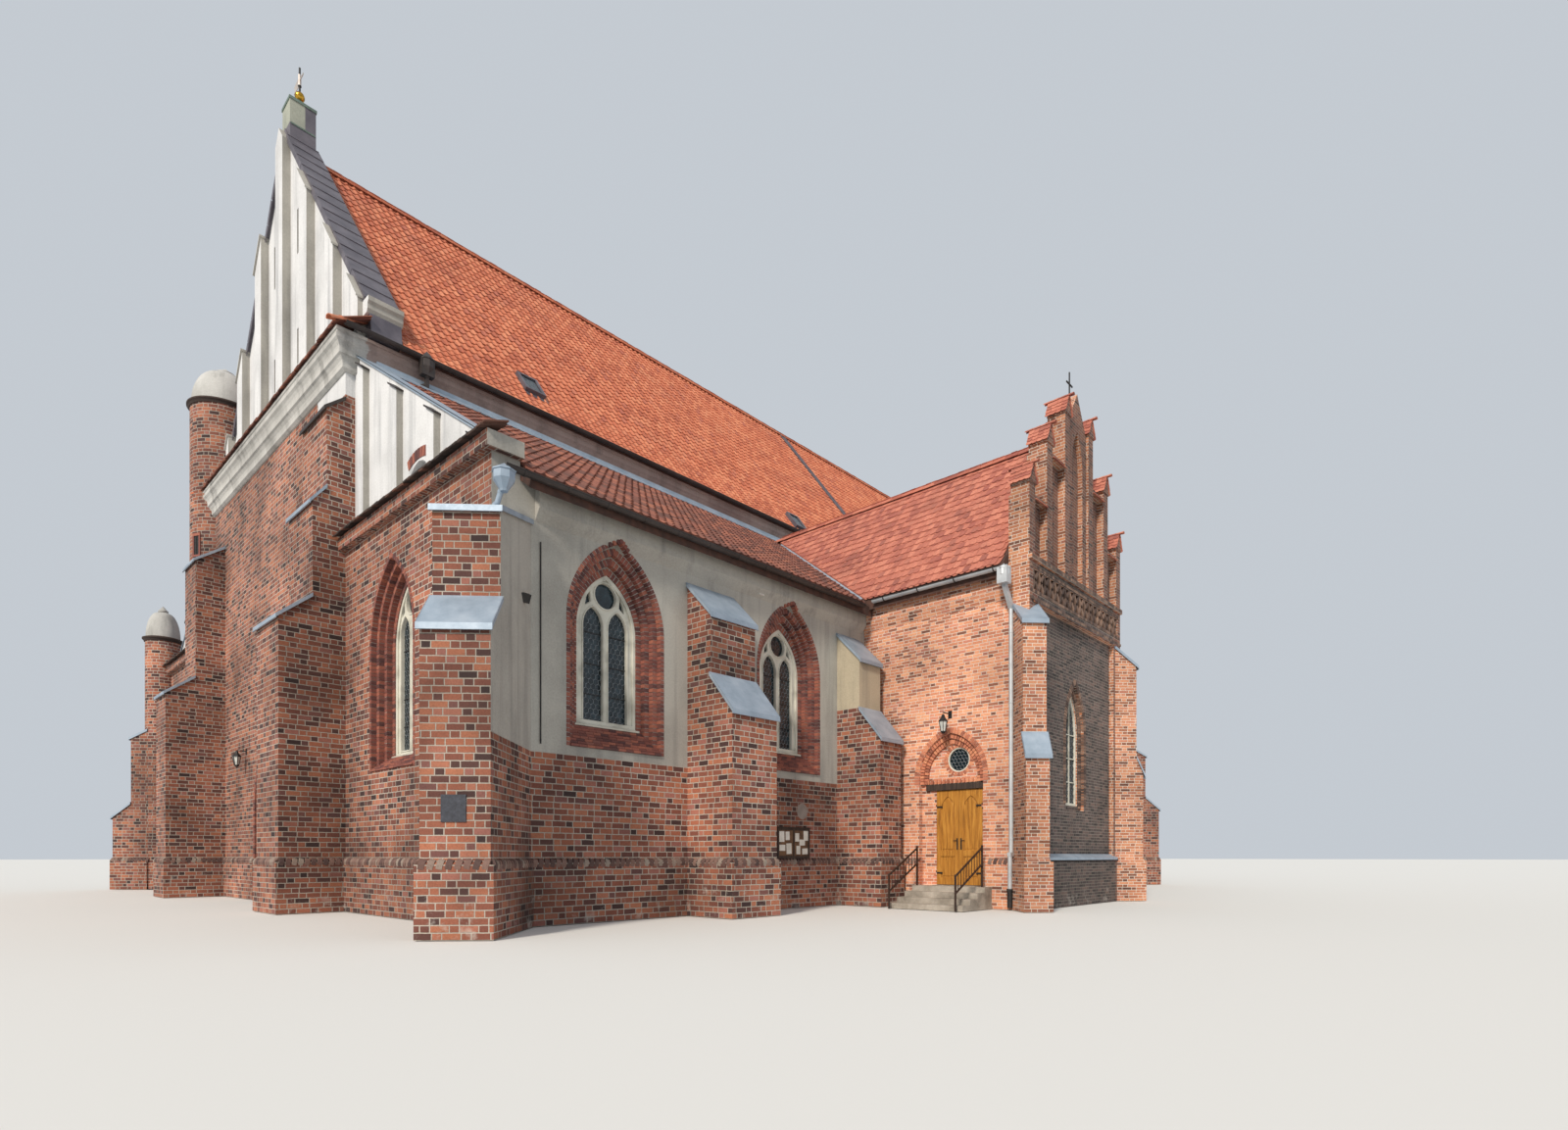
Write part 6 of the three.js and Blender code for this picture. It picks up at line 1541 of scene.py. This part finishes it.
# A leaf has a square panel below and a tall one with a pointed head above, both with raised fields
for name, hinge, edge in LEAVES:
    wood, iron = bmesh.new(), bmesh.new()
    way = 1 if edge > hinge else -1
    place = window_place("west", 10.552, (hinge + edge) / 2)
    half = abs(edge - hinge) / 2
    outer = rect(-half, LEAF_LOW, half, LEAF_HIGH)
    holes = [rect(0.11 - half, 0.7, half - 0.11, 1.22), arch_outline(half - 0.11, 1.36, 2.35, 2.68, 6)]
    panel(wood, place, 0.012, outer, holes, 0.024, 0.003)
    panel(wood, place, 0.037, outer, [], 0.026, 0.002)
    panel(wood, place, 0.018, rect(0.15 - half, 0.74, half - 0.15, 1.18), [], 0.014, 0.0055)
    panel(wood, place, 0.018, arch_outline(half - 0.15, 1.4, 2.35, 2.63, 6), [], 0.014, 0.0055)
    for z in (0.76, 2.38):
        turned(iron, HINGE_X, hinge, [(0, z), (0.0105, z), (0.0105, z + 0.11), (0, z + 0.11)], 14)
        low, high = sorted((hinge, hinge + way * 0.16))
        block(iron, (WEST + 10.539, low, z + 0.035), (WEST + 10.553, high, z + 0.075))
    shown("door_leaf_" + name + "_wood", wood, HONEY_WOOD, name + "_door", ("door_leaf_" + name,))
    shown("door_leaf_" + name + "_hinges", iron, DARK_IRON, name + "_door")

# Long plates with a lever, black-lacquered, on both meeting stiles
for name, y in (("north", -14.975), ("south", -15.08)):
    bm = bmesh.new()
    block(bm, (WEST + 10.547, y - 0.02, 1.38), (WEST + 10.553, y + 0.02, 1.66))
    turned(bm, 10.545, y, [(0, 1.595), (0.008, 1.595), (0.008, 1.611), (0, 1.611)], 12)
    way = 1 if name == "north" else -1
    low, high = sorted((y - way * 0.008, y + way * 0.1))
    block(bm, (WEST + 10.533, low, 1.594), (WEST + 10.545, high, 1.61))
    shown("door_handle_" + name, bm, DARK_IRON, name + "_door", ease=0.002)

# Steps and handrails: worn treads of cast stone with pebbles in it, and flat iron rails with
# thin square bars, painted dark brown.

STONE, tree = new_material("worn cast stone")
place = add(tree, "TexCoord", out="Object")
cloud = add(tree, "TexNoise", {"Vector": place, "Scale": 1.8, "Detail": 6.0, "Roughness": 0.65})
colour = add(tree, "ValToRGB", (cloud,), stops=[(0.3, "#6f685e"), (0.5, "#989085"), (0.7, "#b3aba0")])
pebbles = add(tree, "TexVoronoi", {"Vector": place, "Scale": 55.0})
light = add(tree, "MapRange", (pebbles, 0.0, 0.6, 0.85, 1.1))
finish(tree, (add(tree, "VectorMath", {0: colour, 3: light}, "SCALE"), pebbles), 0.85, 0.002)
dress(STONE, "porch_steps", "church_floor")
RAIL_IRON = iron_look("dark brown painted iron", [(0.35, "#2c201b"), (0.6, "#3d2c25"), (0.8, "#56382b")], 0.5)
dress(RAIL_IRON, "porch_handrail_north", "porch_handrail_south")

# Nine square bars under each rail, and a small knob on both of its posts
bm = bmesh.new()
for y in (-14.15, -15.9):
    for i in range(9):
        x = 8.98 + 0.12 * i
        top = 0.79 + 0.66 * (x - 8.86) / 1.2
        block(bm, (WEST + x - 0.006, y - 0.006, top - 0.39), (WEST + x + 0.006, y + 0.006, top - 0.005))
    for x, z in ((8.86, 0.79), (10.06, 1.45)):
        turned(bm, x, y, [(0, z - 0.005), (0.022, z - 0.005), (0.026, z + 0.01), (0.014, z + 0.03),
            (0, z + 0.036)], 12)
shown("porch_balusters", bm, RAIL_IRON)

# Gutters and downpipes: half round sheet on strap hangers, hoppers with a pointed hood. The
# nave's and the aisle's are painted brown, the porch's is galvanised, the lowest pipe iron.

GUTTER = 0.075
NAVE_GUTTER = ((-0.15, -6.135, 12.86), (30.2, -6.135, 12.86))
AISLE_GUTTER = ((0.0, -12.735, 7.61), (9.8, -12.735, 7.61))
PORCH_GUTTER = ((10.025, -12.85, 7.76), (10.025, -16.57, 7.76))
dress(BROWN_SHEET, "nave_gutter", "aisle_gutter_south")
GALVANISED = zinc_look("galvanised steel", "#cdd1d4", "#a7acb1", "#bcc1c5")
dress(GALVANISED, "porch_gutter")

# Flat straps round the gutter's belly and back up to the eave
bm = bmesh.new()
turns = [math.radians(180 + 22.5 * i) for i in range(9)]
outline = [polar(0.083, a) for a in turns] + [polar(0.0762, a) for a in turns[::-1]]
prism(bm, outline, ACROSS, -0.014, 0.014)
block(bm, (-0.014, -0.083, -0.002), (0.014, 0.083, 0.004))
lines = [[Vector((x + WEST, y, z)) for x, y, z in line] for line in (NAVE_GUTTER, AISLE_GUTTER, PORCH_GUTTER)]
for line in lines:
    inset = (line[1] - line[0]).normalized() * 0.35
    line[0], line[1] = line[0] + inset, line[1] - inset
kept(row_of("gutter_hangers", lines, mesh_of("hanger", bm), BROWN_SHEET, 0.78))

# The rolled front edge that stiffens each gutter
bm = bmesh.new()
for (x, y, z), (far, _, _) in (NAVE_GUTTER, AISLE_GUTTER):
    block(bm, (x + WEST, y - GUTTER - 0.008, z - 0.01), (far + WEST, y - GUTTER + 0.008, z + 0.006))
(x, y, z), (_, far, _) = PORCH_GUTTER
block(bm, (x + WEST - GUTTER - 0.008, far, z - 0.01), (x + WEST - GUTTER + 0.008, y, z + 0.006))
shown("gutter_beads", bm, BROWN_SHEET)


def hopper(bm, x, y, low, high, wide, hood):
    """An eight-sided funnel with a rim and a pointed hood"""
    tall = high - low
    steps = [(0, low), (0.35 * wide, low), (0.42 * wide, low + 0.1 * tall), (wide, low + 0.55 * tall),
        (wide, low + 0.93 * tall), (1.1 * wide, low + 0.94 * tall), (1.1 * wide, high)]
    turned(bm, x, y, steps + [(0.2 * wide, high + 0.8 * hood), (0, high + hood)], 8)


def round_pipe(bm, path, radius):
    """A pipe along a path of points in the church's own measure, with a collar near the start of each length"""
    points = [Vector((x + WEST, y, z)) for x, y, z in path]
    for a, b in zip(points, points[1:]):
        for size, low, high in ((radius, -0.01, (b - a).length + 0.01), (radius * 1.16, 0.03, 0.07)):
            prism(bm, circle(0, 0, size, 14), toward(a, b - a), low, high)


# A hopper and a swan neck on the nave and on the aisle; clips hold the porch's downpipe
brown, zinc, grey, boot = bmesh.new(), bmesh.new(), bmesh.new(), bmesh.new()
hopper(brown, 1.6, -6.16, 12.38, 12.82, 0.15, 0.2)
round_pipe(brown, [(1.6, -6.16, 12.45), (1.6, -6.13, 12.22), (1.2, -6.04, 12.05)], 0.045)
hopper(zinc, 0.02, -12.68, 7.18, 7.52, 0.18, 0.13)
round_pipe(zinc, [(0.02, -12.6, 7.25), (0.0, -12.5, 7.05), (-0.09, -12.02, 6.75), (-0.09, -12.02, 6.2)], 0.045)
hopper(grey, 9.99, -16.48, 7.34, 7.7, 0.13, 0.1)
for z in (1.6, 3.1, 4.7, 6.3):
    prism(grey, circle(0, 0, 0.056, 14), at(WEST + 10.335, -16.48, z), 0, 0.035)
    block(grey, (WEST + 10.33, -16.5, z + 0.005), (WEST + 10.42, -16.46, z + 0.03))
prism(boot, circle(0, 0, 0.062, 16), at(WEST + 10.28, -16.48, 0.05), 0, 0.42)
prism(boot, circle(0, 0, 0.075, 16), at(WEST + 10.28, -16.48, 0.42), 0, 0.06)
shown("nave_hopper", brown, BROWN_SHEET)
shown("aisle_hopper", zinc, ZINC)
shown("porch_hopper", grey, GALVANISED)
shown("downpipe_boot", boot, DARK_IRON)

# Things fixed to the walls: an oak notice board with pinned sheets of bare paper, iron
# lanterns, a bare bronze plaque, floodlights and a junction box of grey enamelled steel.

BRONZE = iron_look("dark bronze", [(0.3, "#2a2c33"), (0.6, "#3c3f48"), (0.8, "#54555c")], 0.45)
PAINTED_STEEL = plain_look("light grey enamel on steel", "#bdbbb4", "#d5d3cc", 0.4)
dress(DARK_WOOD, "notice_board")
BOARD = window_place("south", 7.505, -12.37)

PAPER = plain_look("sun-bleached paper", "#cfcbc0", "#e2dfd6", 0.8)
CORK = plain_look("cork board", "#5a4433", "#77583f", 0.9)
LIME_PATCH = plain_look("grey mortar patch", "#857b74", "#968b83", 0.9)
LAMP_SIZE = 0.9
LAMP_GLASS = plain_look("frosted lamp glass", "#b9bdb8", "#d4d6d0", 0.35, IOR=1.5)

# A framed case under a small hood; the papers are blank and overlap a little
case, back, papers = bmesh.new(), bmesh.new(), bmesh.new()
half, low, high = 0.575, 1.17, 1.89
for a, b in (((-half, -0.02, low), (half, 0.0, low + 0.06)), ((-half, -0.02, high - 0.06), (half, 0.0, high)),
        ((-half, -0.02, low + 0.06), (-half + 0.06, 0.0, high - 0.06)),
        ((half - 0.06, -0.02, low + 0.06), (half, 0.0, high - 0.06)), ((-0.02, -0.018, low + 0.06),
        (0.02, 0.0, high - 0.06)), ((-half - 0.03, -0.045, high), (half + 0.03, 0.07, high + 0.02))):
    block(case, a, b, BOARD)
block(back, (-half + 0.055, -0.006, low + 0.055), (half - 0.055, -0.001, high - 0.055), BOARD)
luck = random.Random(7)
for i, (u, z) in enumerate(((-0.42, 1.68), (-0.22, 1.7), (-0.4, 1.42), (-0.17, 1.4), (0.12, 1.67), (0.3, 1.55),
        (0.44, 1.72), (0.16, 1.37), (0.4, 1.34))):
    wide, tall = ((0.09, 0.125), (0.07, 0.1), (0.1, 0.07))[i % 3]
    spot = BOARD @ at(u, 0, z) @ Matrix.Rotation(luck.uniform(-0.05, 0.05), 4, "Y")
    block(papers, (-wide, -0.009 - 0.0004 * i, -tall), (wide, -0.0065 - 0.0004 * i, tall), spot)
shown("notice_board_case", case, DARK_WOOD, ease=0.003)
shown("notice_board_cork", back, CORK)
shown("notice_board_papers", papers, PAPER)


def lantern(iron, glass, place):
    """A six-sided lamp that widens upwards under a pointed hood, on a flat arm"""
    def ring(radius, z):
        return [place @ Vector((*polar(LAMP_SIZE * radius, math.radians(60 * i + 30)), LAMP_SIZE * z))
            for i in range(6)]

    hood = [(0.135, 0.3), (0.128, 0.325), (0.06, 0.41), (0.05, 0.45), (0.02, 0.5)]
    for bm, levels in ((glass, [(0.062, 0.04), (0.112, 0.31)]),
            (iron, [(0.03, -0.02), (0.068, 0.02), (0.068, 0.045)]), (iron, hood)):
        skin(bm, [ring(radius, z) for radius, z in levels])
    for low, high in zip(ring(0.066, 0.03), ring(0.118, 0.31)):
        block(iron, (-0.007, -0.007, 0), (0.007, 0.007, (high - low).length), toward(low, high - low))


# One over the porch door, a second by the west portal
iron, glass = bmesh.new(), bmesh.new()
for x, y, z in ((10.07, -14.87, 4.17), (-0.24, 2.07, 3.8)):
    lantern(iron, glass, at(WEST + x, y, z))
for x, y, wall, z in ((10.07, -14.87, 10.4, 4.66), (-0.24, 2.07, 0.0, 4.25)):
    block(iron, (WEST + x, y - 0.01, z - 0.012), (WEST + wall, y + 0.01, z + 0.012))
    block(iron, (WEST + wall - 0.014, y - 0.05, z - 0.1), (WEST + wall + 0.004, y + 0.05, z + 0.08))
shown("lantern_frames", iron, DARK_IRON, replaces=("porch_lantern",))
shown("lantern_glass", glass, LAMP_GLASS)

# The plaque is on the corner buttress, the round patch of mortar above the notice board
bronze, steel, iron, disc = bmesh.new(), bmesh.new(), bmesh.new(), bmesh.new()
corner = at(WEST, -AISLE_HALF, 0) @ spun(225, "Z")
block(bronze, (1.645, -0.2, 1.72), (1.668, 0.16, 2.12), corner)
block(steel, (WEST + 6.34, -12.38, 7.12), (WEST + 6.5, -12.29, 7.3))
for place in (at(WEST + 0.4, -12.62, 5.56), at(WEST + 16.42, -17.0, 5.3), at(WEST + 16.4, -17.0, 5.05)):
    block(iron, (-0.1, -0.06, -0.075), (0.1, 0.04, 0.075), place @ Matrix.Rotation(0.5, 4, "X"))
    block(iron, (-0.012, 0.0, -0.012), (0.012, 0.34, 0.012), place)
round_pipe(iron, [(0.9, -12.32, 3.2), (0.9, -12.32, 6.7)], 0.012)
turned(disc, -WEST, 0, [(0, 0), (0.2, 0), (0.19, 0.012), (0, 0.014)], 32)
disc.transform(window_place("south", 7.9, -12.29) @ at(0, 0, 2.3) @ spun(90, "X"))
shown("wall_patch", disc, LIME_PATCH)
shown("corner_plaque", bronze, BRONZE, ease=0.004)
shown("junction_box", steel, PAINTED_STEEL, ease=0.01)
shown("floodlights", iron, DARK_IRON, ease=0.004)

# West portal: three stepped orders of brick, and a door of vertical oak boards on long iron
# straps.

PORTAL = {"half": 0.95, "foot": 0.0, "spring": 2.5, "crown": 4.0, "fall": 0.0, "rise": 1.2}

# Each order is a ring of bricks on edge, 150 mm behind the one outside it
places = []
place = window_place("west", 0, 0)
for outer, inner, front in ((0.45, 0.32, 0.0), (0.32, 0.16, 0.15), (0.16, 0.0, 0.3)):
    stations = [s for s in arch_stations(*grown(PORTAL, inner), 0.08) if s[1] > 0.1]
    places += ring_bricks(place, stations, -0.012, outer - inner + 0.008, front - 0.006, 0.15, 0.068)
kept(laid("west_portal_rings", places, unit_brick(), WINDOW_BRICK, 0.008))

# Boards cut to the arch at their heads, with three pairs of straps
bm, iron = bmesh.new(), bmesh.new()
place = window_place("west", 0.45, 0)
outline = arch_outline(*grown(PORTAL, -0.02))
for i in range(12):
    u = -0.93 + 0.155 * i
    crown = [z for a, z in outline if abs(a - u - 0.075) < 0.12 and z > 2.4] or [2.5]
    block(bm, (u + 0.003, -0.022, 0.03), (u + 0.152, 0.001, min(crown) - 0.02), place)
for z in (0.55, 1.5, 2.4):
    for side in (-1, 1):
        low, high = sorted((side * 0.9, side * 0.12))
        block(iron, (low, -0.03, z), (high, -0.021, z + 0.06), place)
shown("west_door_boards", bm, DARK_WOOD)
shown("west_door_straps", iron, DARK_IRON)

# Studio: a pale floor that reaches out of sight, an even pale surround, one broad warm light
# from the west that grazes the south side, and the photograph's low wide view.

mesh = bpy.data.meshes.new("floor")
mesh.from_pydata([(x, y, -0.012) for x, y in rect(-400, -400, 400, 400)], [], [(0, 1, 2, 3)])
material, tree = new_material("matt paper floor")
surface = add(tree, "BsdfPrincipled", {"Base Color": srgb("#d9d9d6"), "Roughness": 0.9})
add(tree, "OutputMaterial", {"Surface": surface})
linked("floor", mesh, material)
world = bpy.context.scene.world = bpy.data.worlds.new("pale surround")
world.use_nodes = True
back = world.node_tree.nodes["Background"]
back.inputs["Color"].default_value = srgb("#dfe6ee")
back.inputs["Strength"].default_value = 0.75
lamp = bpy.data.lights.new("key", "SUN")
lamp.energy = 3.4
lamp.angle = math.radians(9)
lamp.color = srgb("#fff4e6")[:3]
key = bpy.data.objects.new("key", lamp)
key.rotation_euler = Vector((0.86, 0.30, -0.62)).to_track_quat("-Z", "Y").to_euler()
bpy.context.scene.collection.objects.link(key)
lens = bpy.data.cameras.new("camera")
lens.lens = 18.165
lens.sensor_width = 36
lens.sensor_fit = "HORIZONTAL"
lens.shift_y = 0.1858
lens.clip_end = 900
camera = bpy.data.objects.new("camera", lens)
camera.location = (-21.58, -24.76, 1.22)
camera.rotation_euler = (math.radians(90), 0, math.radians(-47.77))
bpy.context.scene.collection.objects.link(camera)
bpy.context.scene.camera = camera
bpy.context.scene.view_settings.view_transform = "Standard"
